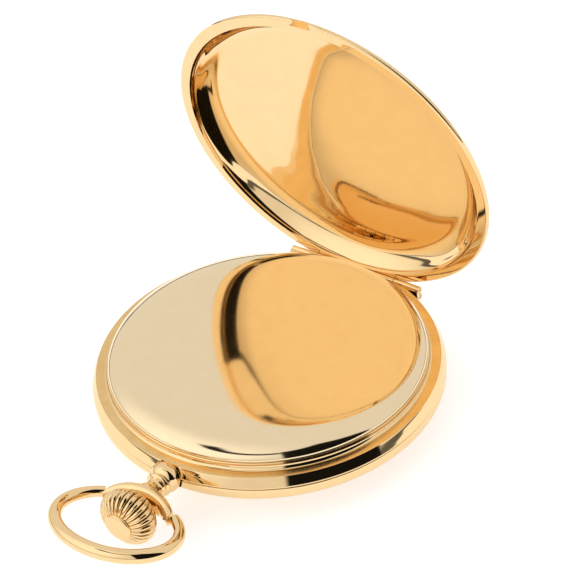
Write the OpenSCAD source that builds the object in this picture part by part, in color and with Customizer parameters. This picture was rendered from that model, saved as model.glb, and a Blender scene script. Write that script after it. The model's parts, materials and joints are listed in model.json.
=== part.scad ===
// Full hunter pocket watch, lying dial side down on its closed front cover.
// The crown points to -Y, the hinges are at +Y, 12 o'clock is at -X.

/* [Case] */
// Height of the case middle's flat ring above the table
ring_z = 8.2; // [8.1:0.1:9]
// Outer radius of the case middle
case_r = 26; // [25.8:0.1:27]
// Height of the band between the two covers
band_h = 1.7; // [1.65:0.05:1.75]
// Width of the wall between the cuvette's edge and the bore of the movement
wall_w = 1.9; // [1.8:0.05:2]
// Gap between a closed cover and the case middle
seam_gap = 0.08; // [0.06:0.01:0.12]
// Width of the flat rim inside each cover
rim_w = 1.5; // [1.4:0.05:1.6]
// Thickness of the covers
lid_wall = 0.4; // [0.35:0.01:0.42]
// Height of the closed back cover above the flat ring
back_lid_h = 4.4; // [4.35:0.05:4.6]
// Angle that the back cover stands open
open_angle = 78.7; // [70:0.1:85]

/* [Cuvette] */
// Width from the case's edge to the cuvette's seam
ring_w = 2.6; // [2.56:0.01:2.7]
// Height of the cuvette's seam above the flat ring
collar_h = 1; // [0.95:0.05:1.1]
// Height of the dome above the cuvette's seam
dome_h = 2.3; // [2.1:0.05:2.35]
// Drop of the dome's round edge
dome_edge = 1.33; // [1.2:0.01:1.4]
// Thickness of the cuvette
cuvette_wall = 0.4; // [0.35:0.05:0.45]

/* [Hinges] */
// Distance of the hinge axes from the case's edge
hinge_in = 1.56; // [1.4:0.02:1.6]
// Length of the cover hinges
hinge_len = 22.8; // [20:0.2:24]
// Radius of the hinge knuckles
knuckle_r = 0.55; // [0.5:0.01:0.56]
// Radius of the hinge pins
pin_r = 0.26; // [0.22:0.01:0.3]
// Radial clearance of a pin in its knuckles
pin_fit = 0.02; // [0.01:0.01:0.04]
// Gap between neighbouring knuckles
knuckle_gap = 0.05; // [0.03:0.01:0.1]
// Length of the cuvette's hinge
cuvette_hinge_len = 8; // [7:0.5:8]

/* [Pendant, bow and crown] */
// Depth of the pendant's axis below the flat ring
pendant_drop = 1.7; // [1.65:0.01:1.72]
// Radius of the ball at the pendant's foot
ball_r = 2.3; // [2.1:0.05:2.4]
// Distance of the bow's pivots from the case's edge
neck_len = 7.2; // [7:0.1:8]
// Half the distance between the two tips of the pendant's head
tip_x = 5.45; // [5.2:0.05:5.6]
// Half width of the bow, to the middle of its wire
bow_half_w = 9.25; // [9:0.05:10]
// Half length of the bow, to the middle of its wire
bow_half_l = 6.85; // [6.8:0.05:7.5]
// Distance from the pivots to the middle of the bow
bow_reach = 4.7; // [4.6:0.05:5]
// Radius of the bow's wire at its far end
bow_wire_r = 1.05; // [0.9:0.05:1.15]
// Radius of the bow's wire at its ends
bow_end_r = 0.78; // [0.72:0.02:0.85]
// Angle that the bow is lifted
bow_tilt = 10.9; // [0:0.1:20]
// Largest radius of the crown
crown_r = 4.35; // [4.2:0.05:4.4]
// Length of the crown
crown_len = 5; // [4.8:0.1:5.2]
// Number of ribs round the crown
crown_ribs = 28; // [24:1:30]
// Depth of the valleys between the ribs
rib_depth = 0.42; // [0.3:0.02:0.5]

/* [Movement] */
// Radial clearance of the main plate in its bore
plate_fit = 0.1; // [0.04:0.02:0.2]
// Thickness of the main plate
plate_t = 1.2; // [1.1:0.05:1.25]
// Space between the main plate and the bridges
train_gap = 1.7; // [1.65:0.05:1.8]
// Thickness of the bridges
bridge_t = 0.8; // [0.7:0.05:0.85]
// Radius of the balance wheel, in percent of the main plate's
balance_size = 36.45; // [33:0.05:36.8]
// Radial clearance of an arbor in its bearing
pivot_fit = 0.03; // [0.02:0.01:0.05]

/* [Dial and glass] */
// Width of the main plate's edge round the dial
dial_edge = 0.5; // [0.45:0.05:0.9]
// Thickness of the dial
dial_t = 0.4; // [0.3:0.05:0.45]
// Depth of the dial's back below the flat ring
dial_drop = 3.5; // [3.48:0.01:3.55]
// Radius of the seconds dial
seconds_dial_r = 4.6; // [4.2:0.1:4.8]
// Depth of the middle of the glass below the flat ring
glass_drop = 5.9; // [5.85:0.05:6.2]

/* [Hidden] */
$fn = 96;
// Overlap of two bodies that are joined in one piece
e = 0.01;

// Levels, measured from the flat ring
band_z = -band_h;
lid_foot_z = band_z - seam_gap;
collar_low_z = band_z - 1;
axis_z = -pendant_drop;
plate_top_z = -1.3;
plate_low_z = plate_top_z - plate_t;
bridge_low_z = plate_top_z + train_gap;
bridge_top_z = bridge_low_z + bridge_t;
dial_back_z = -dial_drop;
dial_face_z = dial_back_z - dial_t;
floor_z = -ring_z;

// Radii of the case
cuvette_r = case_r - ring_w;
bore_r = cuvette_r - wall_w;
foot_r = case_r - 2.08;
seam_r = case_r - 0.5;
collar_r = cuvette_r + 0.03;
skirt_bore_r = cuvette_r - 0.45;
ledge_r = bore_r + 0.7;
low_collar_r = case_r - 2.1;
spring_groove_r = bore_r + 2.05;
lid_bowl_r = case_r - 0.4 - rim_w;

// Hinges
hinge_y = case_r - hinge_in;
back_hinge_z = -0.35;
front_hinge_z = band_z + 0.13;
knuckle_room = 0.07;
hinge_chord_y = hinge_y + 0.45;
case_chord_y = hinge_y + 0.08;
cuvette_hinge_y = cuvette_r - 0.25;
cuvette_hinge_z = collar_h - 0.2;
cuvette_knuckle_r = 0.36;
cuvette_pin_r = 0.18;
cuvette_room = 0.06;

// The movement's places are written for a plate of 21.4 and follow the plate's real size
plate_r = bore_r - plate_fit;
k = plate_r / 21.4;
balance_r = plate_r * balance_size / 100;
centre_at = [0, 0];
barrel_at = k * [-9, -4.76];
third_at = k * [5.85, -4.57];
fourth_at = k * [10.6, 0];
escape_at = k * [9.61, 5.63];
pallet_at = k * [6.56, 8.66];
balance_at = k * [2.6, 12.6];
crown_wheel_at = k * [0, -11.6];
minute_at = k * [0, -4.6];
setting_at = k * [0, -9.775];

// Teeth
barrel_teeth = 80;
centre_leaves = 10;
centre_teeth = 80;
third_leaves = 10;
third_teeth = 75;
fourth_leaves = 10;
fourth_teeth = 80;
escape_leaves = 8;
escape_teeth = 15;
crown_teeth = 24;
ratchet_teeth = 38;
contrate_teeth = 22;
winding_teeth = 12;
cannon_leaves = 12;
minute_teeth = 36;
minute_leaves = 10;
hour_teeth = 40;
setting_teeth = 18;

// Hands at eight minutes past ten
hour_angle = 180 + 30 * (10 + 8 / 60);
minute_angle = 180 + 6 * 8;
seconds_angle = 180 + 6 * 35;

function polar(r, a) = [r * cos(a), r * sin(a)];
function arc(c, r, a0, a1, n = 10) =
    [for (i = [0:n]) c + polar(r, a0 + (a1 - a0) * i / n)];
function flip_z(points) = [for (p = points) [p[0], -p[1]]];
function direction(a, b) = atan2(b[1] - a[1], b[0] - a[0]);
function distance(a, b) = norm([b[0] - a[0], b[1] - a[1]]);
function pitch_r(a, b, n, m) = distance(a, b) * n / (n + m);

// Angle at which a wheel of m teeth at b meshes with a wheel of n teeth at a that is turned by t
function mesh_angle(a, b, n, m, t = 0) =
    direction(a, b) + 180 - (0.5 - (direction(a, b) - t) * n / 360) * 360 / m;

// Outline of a toothed wheel: four points a tooth, narrow at its tip
function gear_outline(n, r, tip = 0.75, root = 1.05) =
    let (m = 2 * r / n)
    [for (i = [0:n - 1], k = [0:3])
        polar(k == 1 || k == 2 ? r + tip * m : r - root * m,
            (i + [-0.29, -0.12, 0.12, 0.29][k]) * 360 / n)];

// Ring of points round the Z axis, for lofted forms: section(a) gives the radius at angle a
function tube_faces(rings, sides) = concat(
    [[for (j = [sides - 1:-1:0]) j]],
    [for (i = [0:rings - 2], j = [0:sides - 1])
        let (a = i * sides + j, b = i * sides + (j + 1) % sides, c = a + sides, d = b + sides)
        [a, b, d]],
    [for (i = [0:rings - 2], j = [0:sides - 1])
        let (a = i * sides + j, b = i * sides + (j + 1) % sides, c = a + sides, d = b + sides)
        [a, d, c]],
    [[for (j = [0:sides - 1]) (rings - 1) * sides + j]]);

module lift() { translate([0, 0, ring_z]) children(); }
module at(p, z = 0, turn = 0) { translate([p[0], p[1], z]) rotate([0, 0, turn]) children(); }
module gear(n, r, h, turn = 0) {
    rotate([0, 0, turn]) linear_extrude(h) polygon(gear_outline(n, r));
}
module disc(r, z0, z1) { translate([0, 0, z0]) cylinder(h = z1 - z0, r = r); }
module along_x(r, x0, x1, y, z) {
    translate([x0, y, z]) rotate([0, 90, 0]) cylinder(h = x1 - x0, r = r);
}
module along_y(r, y0, y1, z = axis_z, x = 0) {
    translate([x, y0, z]) rotate([-90, 0, 0]) cylinder(h = y1 - y0, r = r);
}
module block(x0, x1, y0, y1, z0, z1) {
    translate([x0, y0, z0]) cube([x1 - x0, y1 - y0, z1 - z0]);
}

// Knuckles numbered 0 to 4 along a hinge; odd ones belong to the cover. Each is an extruded outline of
// circles of radius r at the axes, on a web that joins them to the piece that carries them.
module knuckles(which, len, r, axes, web) {
    for (i = which) {
        x0 = -len / 2 + i * len / 5 + (i == 0 ? 0 : knuckle_gap / 2);
        x1 = -len / 2 + (i + 1) * len / 5 - (i == 4 ? 0 : knuckle_gap / 2);
        translate([x0, 0, 0]) rotate([90, 0, 90]) linear_extrude(x1 - x0) union() {
            for (c = axes) translate(c) circle(r);
            translate([web[0], web[2]]) square([web[1] - web[0], web[3] - web[2]]);
        }
    }
}
module hinge_room(len, r, y, z) {
    along_x(r, -len / 2 - knuckle_gap / 2, len / 2 + knuckle_gap / 2, y, z);
}

function case_middle_profile() = concat(
    [[bore_r, collar_low_z], [low_collar_r, collar_low_z], [low_collar_r, band_z], [seam_r, band_z]],
    [[case_r - 0.12, band_z + 0.35], [case_r, band_z + 0.75]],
    arc([case_r - 0.35, -0.35], 0.35, 0, 90, 5),
    [[foot_r, 0], [foot_r - 0.2, 0.12], [foot_r - 0.36, 0.4], [collar_r + 0.06, collar_h * 0.72]],
    [[collar_r + 0.1, collar_h * 0.86], [collar_r, collar_h]],
    [[skirt_bore_r, collar_h], [skirt_bore_r, 0.15], [ledge_r, 0.15]],
    [[ledge_r, -0.3], [spring_groove_r, -0.3], [spring_groove_r, -1.15], [ledge_r, -1.15]],
    [[ledge_r, plate_top_z], [bore_r, plate_top_z]]);

// Room for the pendant's ball where the covers close over it
ball_room = 0.15;
module neck_clearance(r) { along_y(r, -case_r - 4, -case_r + 6); }

module case_middle() {
    color("goldenrod") lift() difference() {
        union() {
            difference() {
                rotate_extrude() polygon(case_middle_profile());
                block(-case_r, case_r, case_chord_y, case_r + 1, -3, 3);
                hinge_room(hinge_len, knuckle_r + knuckle_room, hinge_y, back_hinge_z);
                hinge_room(hinge_len, knuckle_r + knuckle_room, hinge_y, front_hinge_z);
                cuvette_hinge_room();
            }
            knuckles([0, 2, 4], hinge_len, knuckle_r,
                [[hinge_y, back_hinge_z], [hinge_y, front_hinge_z]],
                [hinge_y - 1.8, hinge_y - 0.1, front_hinge_z + 0.2, back_hinge_z + 0.2]);
            knuckles([0, 2, 4], cuvette_hinge_len, cuvette_knuckle_r, [[cuvette_hinge_y, cuvette_hinge_z]],
                [cuvette_hinge_y - 0.15, cuvette_hinge_y + 0.15, -0.1, cuvette_hinge_z]);
        }
        along_x(pin_r + pin_fit, -hinge_len, hinge_len, hinge_y, back_hinge_z);
        along_x(pin_r + pin_fit, -hinge_len, hinge_len, hinge_y, front_hinge_z);
        along_x(cuvette_pin_r + pin_fit, -cuvette_hinge_len, cuvette_hinge_len, cuvette_hinge_y,
            cuvette_hinge_z);
        pendant_seat();
        lock_slot();
        lift_slot();
    }
}

// Stepped hole for the stem, the sleeve and the pendant's foot
module pendant_seat() {
    foot = ball_r - 0.02;
    translate([0, 0, axis_z]) rotate([90, 0, 0]) rotate_extrude() polygon([
        [0, bore_r - 1], [stem_r + stem_room, bore_r - 1], [stem_r + stem_room, sleeve_y],
        [sleeve_r, sleeve_y], [sleeve_r, pendant_y], [foot, pendant_y], [foot, case_r + 1], [0, case_r + 1]]);
}

module cuvette_hinge_room() {
    hinge_room(cuvette_hinge_len, cuvette_knuckle_r + cuvette_room, cuvette_hinge_y, cuvette_hinge_z);
    block(-cuvette_hinge_len / 2 - knuckle_gap, cuvette_hinge_len / 2 + knuckle_gap,
        cuvette_hinge_y, cuvette_hinge_y + 2, cuvette_hinge_z - 0.3, collar_h + 1);
}

// Cover with its flat rim at z = 0, opening downwards, and its outside up
function lid_outer(h) = concat(
    [[case_r - 0.5, 0], [case_r - 0.25, 0.1], [case_r - 0.14, 0.3], [case_r - 0.14, 0.5]],
    [[case_r - 0.25, 0.75], [case_r - 0.6, 1.12], [case_r - 1.2, h * 0.359], [case_r - 2, h * 0.484]],
    [[case_r - 3, h * 0.622], [case_r - 4.2, h * 0.742], [case_r - 6, h * 0.85], [case_r - 9, h * 0.932]],
    [[case_r - 13, h * 0.98], [case_r - 18, h], [0, h]]);
function lid_inner(h) = concat(
    [[0, h - lid_wall], [case_r - 18, h - lid_wall], [case_r - 13, h * 0.98 - lid_wall]],
    [[case_r - 9.1, h * 0.932 - lid_wall], [case_r - 6.2, h * 0.85 - lid_wall]],
    [[case_r - 4.5, h * 0.742 - lid_wall], [case_r - 3.3, h * 0.622 - lid_wall]],
    [[case_r - 2.4, h * 0.484 - lid_wall], [lid_bowl_r - 0.15, 1]],
    [[lid_bowl_r, 0.3], [lid_bowl_r + 0.03, 0]]);

module lid_shell(h) { rotate_extrude() polygon(concat(lid_outer(h), lid_inner(h))); }

module back_lid() {
    color("gold") lift() translate([0, hinge_y, back_hinge_z]) rotate([-open_angle, 0, 0])
        translate([0, -hinge_y, -back_hinge_z]) difference() {
            union() {
                difference() {
                    translate([0, 0, seam_gap]) lid_shell(back_lid_h);
                    block(-case_r, case_r, hinge_chord_y, case_r + 1, -1, 3);
                    hinge_room(hinge_len, knuckle_r + knuckle_room, hinge_y, back_hinge_z);
                    neck_clearance(ball_r + ball_room);
                }
                knuckles([1, 3], hinge_len, knuckle_r, [[hinge_y, back_hinge_z]],
                    [hinge_y - 0.1, hinge_chord_y, back_hinge_z, seam_gap + 0.6]);
            }
            along_x(pin_r + pin_fit, -hinge_len, hinge_len, hinge_y, back_hinge_z);
        }
}

front_lid_h = ring_z + lid_foot_z;
function front_outer() = let (h = front_lid_h) concat(
    [[seam_r, 0], [seam_r + 0.22, 0.2], [case_r - 0.06, 0.55], [case_r, 0.95], [case_r - 0.1, 1.4]],
    [[case_r - 0.5, 1.95], [case_r - 1.1, h * 0.39], [case_r - 2, h * 0.5], [case_r - 3.4, h * 0.63]],
    [[case_r - 5.4, h * 0.755], [case_r - 8, h * 0.865], [case_r - 11, h * 0.95]],
    [[case_r - 14, h], [0, h]]);
function front_inner() = let (h = front_lid_h, w = lid_wall) concat(
    [[0, h - w], [case_r - 14.2, h - w], [case_r - 11.3, h * 0.95 - w], [case_r - 8.4, h * 0.865 - w]],
    [[case_r - 5.9, h * 0.755 - w], [case_r - 3.95, h * 0.63 - w], [case_r - 2.6, h * 0.5 - w]],
    [[case_r - 1.7, h * 0.39 - w], [case_r - 1, 1.55], [case_r - 0.65, 1.2], [case_r - 0.6, 0.95]],
    [[lid_bowl_r + 0.6, 0.6], [lid_bowl_r + 0.5, 0]]);

module front_lid() {
    color("gold") lift() difference() {
        union() {
            difference() {
                translate([0, 0, lid_foot_z]) rotate_extrude()
                    polygon(flip_z(concat(front_outer(), front_inner())));
                block(-case_r, case_r, hinge_chord_y, case_r + 1, lid_foot_z - 3, 0);
                hinge_room(hinge_len, knuckle_r + knuckle_room, hinge_y, front_hinge_z);
                neck_clearance(ball_r + ball_room);
                block(-hinge_len / 2 - 0.1, hinge_len / 2 + 0.1, case_r - 4, hinge_y - 0.1,
                    lid_foot_z - 0.25, 0);
            }
            knuckles([1, 3], hinge_len, knuckle_r, [[hinge_y, front_hinge_z]],
                [hinge_y, hinge_chord_y, lid_foot_z - 0.6, front_hinge_z]);
        }
        along_x(pin_r + pin_fit, -hinge_len, hinge_len, hinge_y, front_hinge_z);
    }
}

module back_hinge_pin() {
    color("darkgoldenrod") lift() along_x(pin_r, -hinge_len / 2, hinge_len / 2, hinge_y, back_hinge_z);
}
module front_hinge_pin() {
    color("darkgoldenrod") lift() along_x(pin_r, -hinge_len / 2, hinge_len / 2, hinge_y, front_hinge_z);
}
module cuvette_hinge_pin() {
    color("darkgoldenrod") lift()
        along_x(cuvette_pin_r, -cuvette_hinge_len / 2, cuvette_hinge_len / 2, cuvette_hinge_y,
            cuvette_hinge_z);
}

// Dome of the cuvette: flat in the middle, falling ever more steeply to its round edge
dome_bend = 11.65;
dome_reach = cuvette_r - 0.4;
shoulder_start = cuvette_r - 0.8;
dome_foot = [cuvette_r + 0.03, collar_h + 0.25];
function dome_z(r) = collar_h + dome_h - dome_edge * pow(r / dome_reach, dome_bend);
function dome_slope(r) = dome_edge * dome_bend / dome_reach * pow(r / dome_reach, dome_bend - 1);
// Points of a quadratic curve from a to c, drawn towards b
function curve(a, b, c, n = 7) =
    [for (i = [0:n]) let (t = i / n) pow(1 - t, 2) * a + 2 * t * (1 - t) * b + t * t * c];
function dome_line() = concat([[0, dome_z(cuvette_r - 10.4)]],
    [for (d = [10.4, 7.9, 5.9, 4.4, 3.2, 2.2, 1.4]) [cuvette_r - d, dome_z(cuvette_r - d)]],
    curve([shoulder_start, dome_z(shoulder_start)],
        [dome_foot[0],
            dome_z(shoulder_start) - dome_slope(shoulder_start) * (dome_foot[0] - shoulder_start)],
        dome_foot));
// The dome's outside, or with a wall its inside, drawn in towards the foot
function dome(wall) = let (k = 1 - wall / dome_foot[0], q = 1 - wall / (dome_z(0) - dome_foot[1]))
    [for (p = dome_line()) [p[0] * k, dome_foot[1] + (p[1] - dome_foot[1]) * q]];
cuvette_foot_z = collar_h + 0.04;
function reversed(v) = [for (i = [len(v) - 1:-1:0]) v[i]];
skirt_r = skirt_bore_r - 0.06;

module cuvette() {
    color("gold") lift() difference() {
        union() {
            difference() {
                rotate_extrude() polygon(reversed(concat(dome(0),
                    [[cuvette_r, cuvette_foot_z], [skirt_r, cuvette_foot_z], [skirt_r, 0.45],
                     [skirt_r - 0.35, 0.45], [skirt_r - 0.35, cuvette_foot_z]],
                    reversed(dome(cuvette_wall)))));
                cuvette_hinge_clearance();
            }
            knuckles([1, 3], cuvette_hinge_len, cuvette_knuckle_r, [[cuvette_hinge_y, cuvette_hinge_z]],
                [cuvette_hinge_y - 0.25, cuvette_hinge_y + 0.1, cuvette_hinge_z, cuvette_foot_z + 0.35]);
        }
        along_x(cuvette_pin_r + pin_fit, -cuvette_hinge_len, cuvette_hinge_len, cuvette_hinge_y,
            cuvette_hinge_z);
    }
}

// Room in the cuvette's foot for the case's knuckles, and for its skirt to swing out
module cuvette_hinge_clearance() {
    hinge_room(cuvette_hinge_len, cuvette_knuckle_r + cuvette_room, cuvette_hinge_y, cuvette_hinge_z);
    block(-cuvette_hinge_len / 2 - 1.5, cuvette_hinge_len / 2 + 1.5, cuvette_r - 3.4, case_r, 0,
        cuvette_foot_z + 0.05);
}

// The glass sits in the bezel's groove and the bezel grips the case's lower collar; r is its inner edge
bezel_in_r = low_collar_r - 2.7;
module bezel() {
    r = bezel_in_r;
    color("gold") lift() rotate_extrude() polygon(concat(
        [[low_collar_r + 0.03, band_z - 0.55], [low_collar_r + 0.28, band_z - 0.55]],
        [[low_collar_r + 0.34, -3.1], [low_collar_r - 0.1, -4.1], [low_collar_r - 1.1, -4.85]],
        [[r + 0.9, -5.2], [r - 0.1, -5.3], [r - 0.15, -5.05], [r + 0.55, -4.95], [r + 0.55, -4.7]],
        [[r, -4.6], [r, -4.05], [r + 0.3, -3.95], [r + 0.3, -2.75], [low_collar_r + 0.03, -2.75]]));
}

glass_r = bezel_in_r + 0.45;
module crystal() {
    r = glass_r;
    out_z = -glass_drop;
    color("lightcyan", 0.4) lift() rotate_extrude() polygon(concat(
        [[0, out_z], [r * 0.28, out_z + 0.04], [r * 0.51, out_z + 0.15], [r * 0.69, out_z + 0.31]],
        [[r * 0.855, out_z + 0.5], [r - 0.75, -5.2], [r - 0.7, -4.92], [r, -4.92], [r, -4.74]],
        [[r * 0.97, -4.66], [r * 0.855, -4.78], [r * 0.69, -4.93], [r * 0.51, -5.07]],
        [[r * 0.28, -5.17], [0, -5.2]]));
}

// Pendant: ball, beads and neck turned about its axis, and a boat-shaped head
sleeve_r = 1.1;
sleeve_y = case_r - 1.5;
stem_r = 0.6;
stem_room = 0.1;
stem_fit = 0.04;
pendant_y = case_r - 0.85;
neck_end_y = case_r + 5.2;
pivot_y = case_r + neck_len;
function pendant_profile() = let (y = case_r, r = ball_r) concat(
    [[0, pendant_y], [r * 0.78, pendant_y], [r * 0.95, y - 0.3], [r, y + 0.4], [r * 0.96, y + 1]],
    [[r * 0.8, y + 1.5], [r * 0.72, y + 1.65], [r * 0.8, y + 1.8], [r * 0.86, y + 2.1]],
    [[r * 0.78, y + 2.42], [r * 0.66, y + 2.6], [r * 0.62, y + 3], [r * 0.66, y + 3.5]],
    [[r * 0.8, y + 4.1], [r * 0.84, y + 4.6], [r * 0.8, neck_end_y], [0, neck_end_y]]);

// The head is a loft from tip to tip: s runs from -1 to 1
head_rings = 17;
head_sides = 16;
head_reach = 2.15;
head_half_y = 0.42;
head_half_z = 1.25;
head_lean = 24;
function head_centre(s) = [tip_x * sin(90 * s), -pivot_y + head_reach * pow(cos(90 * s), 1.5)];
function head_half(s) = [bow_end_r + head_half_y * pow(cos(90 * s), 2),
    bow_end_r + head_half_z * pow(cos(90 * s), 1.3)];
function head_points() = [for (i = [0:head_rings - 1], j = [0:head_sides - 1])
    let (s = -1 + 2 * i / (head_rings - 1), a = -360 * j / head_sides,
        c = head_centre(s), h = head_half(s), lean = s * head_lean * (1 - pow(abs(s), 6)))
    [c[0] + h[0] * cos(a) * sin(lean), c[1] + h[0] * cos(a) * cos(lean), axis_z + h[1] * sin(a)]];

module pendant() {
    color("gold") lift() difference() {
        union() {
            translate([0, 0, axis_z]) rotate([90, 0, 0]) rotate_extrude() polygon(pendant_profile());
            polyhedron(head_points(), tube_faces(head_rings, head_sides));
        }
        along_y(sleeve_r, 0.2 - neck_end_y, 6 - case_r);
        along_y(stem_r + stem_room, -pivot_y - 7, 6 - case_r);
        translate([0, -crown_back_y - crown_len / 2, axis_z]) rotate([90, 0, 0])
            cylinder(h = crown_len + 1, r = crown_r + 0.12, center = true);
        along_y(head_recess_r, -crown_back_y - 1, -crown_back_y + 0.9);
        for (s = [-1, 1]) along_x(bow_pin_r, s * tip_x - 1, s * tip_x + 1, -pivot_y, axis_z);
    }
}

module pendant_sleeve() {
    color("silver") lift() difference() {
        along_y(sleeve_r, 0.2 - neck_end_y, -sleeve_y);
        along_y(stem_r + stem_fit, -neck_end_y - 1, -sleeve_y + 1);
    }
}

// Bow: round wire on an oval, thicker at its far end, hung between the pendant's tips
bow_pin_r = 0.3;
bow_pin_in = 0.95;
bow_pin_out = 0.65;
bow_pin_len = bow_pin_in + bow_pin_out;
function bow_pin_start(s) = s > 0 ? tip_x - bow_pin_in : -tip_x - bow_pin_out;
bow_gap = 0.06;
bow_rings = 45;
bow_sides = 14;
bow_start = asin((-bow_reach - 0.6) / bow_half_l);
function bow_path(t) = let (a = bow_start + (180 - 2 * bow_start) * t)
    [bow_half_w * cos(a), bow_reach + bow_half_l * sin(a)];
function bow_wire(t) = bow_end_r + (bow_wire_r - bow_end_r) * pow(sin(180 * t), 0.8);
function bow_points() = [for (i = [0:bow_rings - 1], j = [0:bow_sides - 1])
    let (t = i / (bow_rings - 1), p = bow_path(t), q = bow_path(t + 0.001) - bow_path(t - 0.001),
        n = [q[1], -q[0]] / norm(q), a = -360 * j / bow_sides, r = bow_wire(t))
    [p[0] + n[0] * r * cos(a), -p[1] - n[1] * r * cos(a), r * sin(a)]];

module bow() {
    color("gold") lift() translate([0, -pivot_y, axis_z]) rotate([-bow_tilt, 0, 0]) difference() {
        polyhedron(bow_points(), tube_faces(bow_rings, bow_sides));
        block(-tip_x - bow_gap, tip_x + bow_gap, -3, 3, -3, 3);
        for (s = [-1, 1])
            along_x(bow_pin_r + pivot_fit, bow_pin_start(s) - 0.05, bow_pin_start(s) + 1.65, 0, 0);
    }
}

module bow_pins() {
    color("darkgoldenrod") lift() for (s = [-1, 1])
        along_x(bow_pin_r, bow_pin_start(s), bow_pin_start(s) + bow_pin_len, -pivot_y, axis_z);
}

// Crown: an onion with convex ribs and sharp valleys, and a flat cap
crown_back_y = pivot_y - 0.2;
head_recess_r = 1.62;
crown_start = 0.02;
crown_end = 0.92;
crown_boss_r = crown_r * 0.506;
crown_bore_y = -crown_back_y - crown_len * 0.7;
cap_lap = 0.014;
crown_rings = 13;
crown_steps = 4;
cap_r = crown_r * 0.49;
function crown_body(u) = let (w = pow(sin(18 + 144 * u), 0.75)) crown_r * (0.06 + 0.94 * w);
function crown_points() = [for (i = [0:crown_rings - 1], j = [0:crown_ribs * crown_steps - 1])
    let (u = i / (crown_rings - 1), k = (j % crown_steps) / crown_steps,
        a = -360 * j / (crown_ribs * crown_steps),
        fade = pow(sin(180 * (0.1 + 0.8 * u)), 0.6),
        r = crown_body(u) - rib_depth * fade * (1 - pow(sin(180 * k), 0.55)))
    [r * cos(a), -crown_back_y - crown_len * (crown_start + (crown_end - crown_start) * u),
        axis_z + r * sin(a)]];

module crown() {
    color("gold") lift() difference() {
        union() {
            polyhedron(crown_points(), tube_faces(crown_rings, crown_ribs * crown_steps));
            along_y(cap_r, -crown_back_y - crown_len, -crown_back_y - crown_len * (crown_end - cap_lap));
            along_y(crown_boss_r, -crown_back_y - crown_len * (crown_start + cap_lap), -crown_back_y);
        }
        along_y(stem_r, crown_bore_y, -crown_back_y + 2);
    }
}

// Square on the crown's stem, which slides in the winding stem's socket
shank_y = case_r - 1.2;
square_w = 0.56;
socket_w = 0.62;
socket_floor_y = plate_r - 3;
module square_z(w, z0, z1) { block(-w / 2, w / 2, -w / 2, w / 2, z0, z1); }
module square_y(w, y0, y1) { block(-w / 2, w / 2, y0, y1, axis_z - w / 2, axis_z + w / 2); }
module crown_stem() {
    color("silver") lift() {
        along_y(stem_r, crown_bore_y, -shank_y);
        square_y(square_w, -shank_y - e, -socket_floor_y - 1.2);
    }
}

// Springs in the groove of the case middle; each reaches its cover through a slot in the band's foot.
// Radii, angles and heights are pairs: from and to
spring_r = [bore_r + 1, bore_r + 1.8];
spring_z = [-1.05, -0.4];
hook_r = [bore_r + 1.2, bore_r + 2.7];
hook_z = [-1.95, -0.6];
slot_r = [bore_r + 0.5, bore_r + 2.85];
slot_z = [-2.9, -0.3];
lock_hook = [278.4, 281.6];
lift_hook = [55, 58];
lock_spring_end = 345;
lift_spring_end = 15;
module strip(r, a, z) {
    rotate([0, 0, a[0]]) rotate_extrude(angle = a[1] - a[0])
        translate([r[0], z[0]]) square([r[1] - r[0], z[1] - z[0]]);
}
module lock_slot() { strip(slot_r, lock_hook + [-0.9, 0.9], slot_z); }
module lift_slot() { strip(slot_r, lift_hook + [-1, 1], slot_z); }

module lock_spring() {
    color("slategray") lift() {
        strip(spring_r, [lock_hook[0], lock_spring_end], spring_z);
        strip(hook_r, lock_hook, hook_z);
    }
}
module lift_spring() {
    color("slategray") lift() {
        strip(spring_r, [lift_spring_end, lift_hook[1]], spring_z);
        strip(hook_r, lift_hook, hook_z);
    }
}

// Screw with a slotted head, its head's top at z = 0
module screw(head_r, head_h, shank_r, length) {
    difference() {
        union() {
            disc(head_r, -head_h, 0);
            disc(shank_r, -length, -head_h + e);
        }
        block(-head_r, head_r, -0.12, 0.12, -head_h * 0.4, 1);
    }
}
case_screw_angles = [150, 330];
case_screw_head_r = 1;
case_screw_head_h = 0.44;
function case_screw_at(a) = polar(bore_r - 0.45, a);
module case_screws() {
    color("steelblue") lift() for (a = case_screw_angles)
        at(case_screw_at(a), plate_top_z + case_screw_head_h + e, a)
            screw(case_screw_head_r, case_screw_head_h, 0.4, 1.3);
}

module pivot_holes(points, r, z0, z1) { for (p = points) at(p) disc(r, z0, z1); }
train_points = [third_at, fourth_at, escape_at];

// Radii of the jewels, pivots, posts and screws
jewel_r = 0.8;
cap_jewel_r = 0.5;
pivot_r = 0.2;
staff_pivot_r = 0.16;
centre_arbor_r = 0.3;
post_r = 0.3;
lever_post_r = 0.42;
dial_foot_r = 0.35;
head_r = 0.85;
head_h = 0.4;
head_sink_r = 0.9;
shank_r = 0.38;
screw_hole_r = 0.42;
keyless_half_w = 1.95;
stem_bay_r = 2.1;

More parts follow.
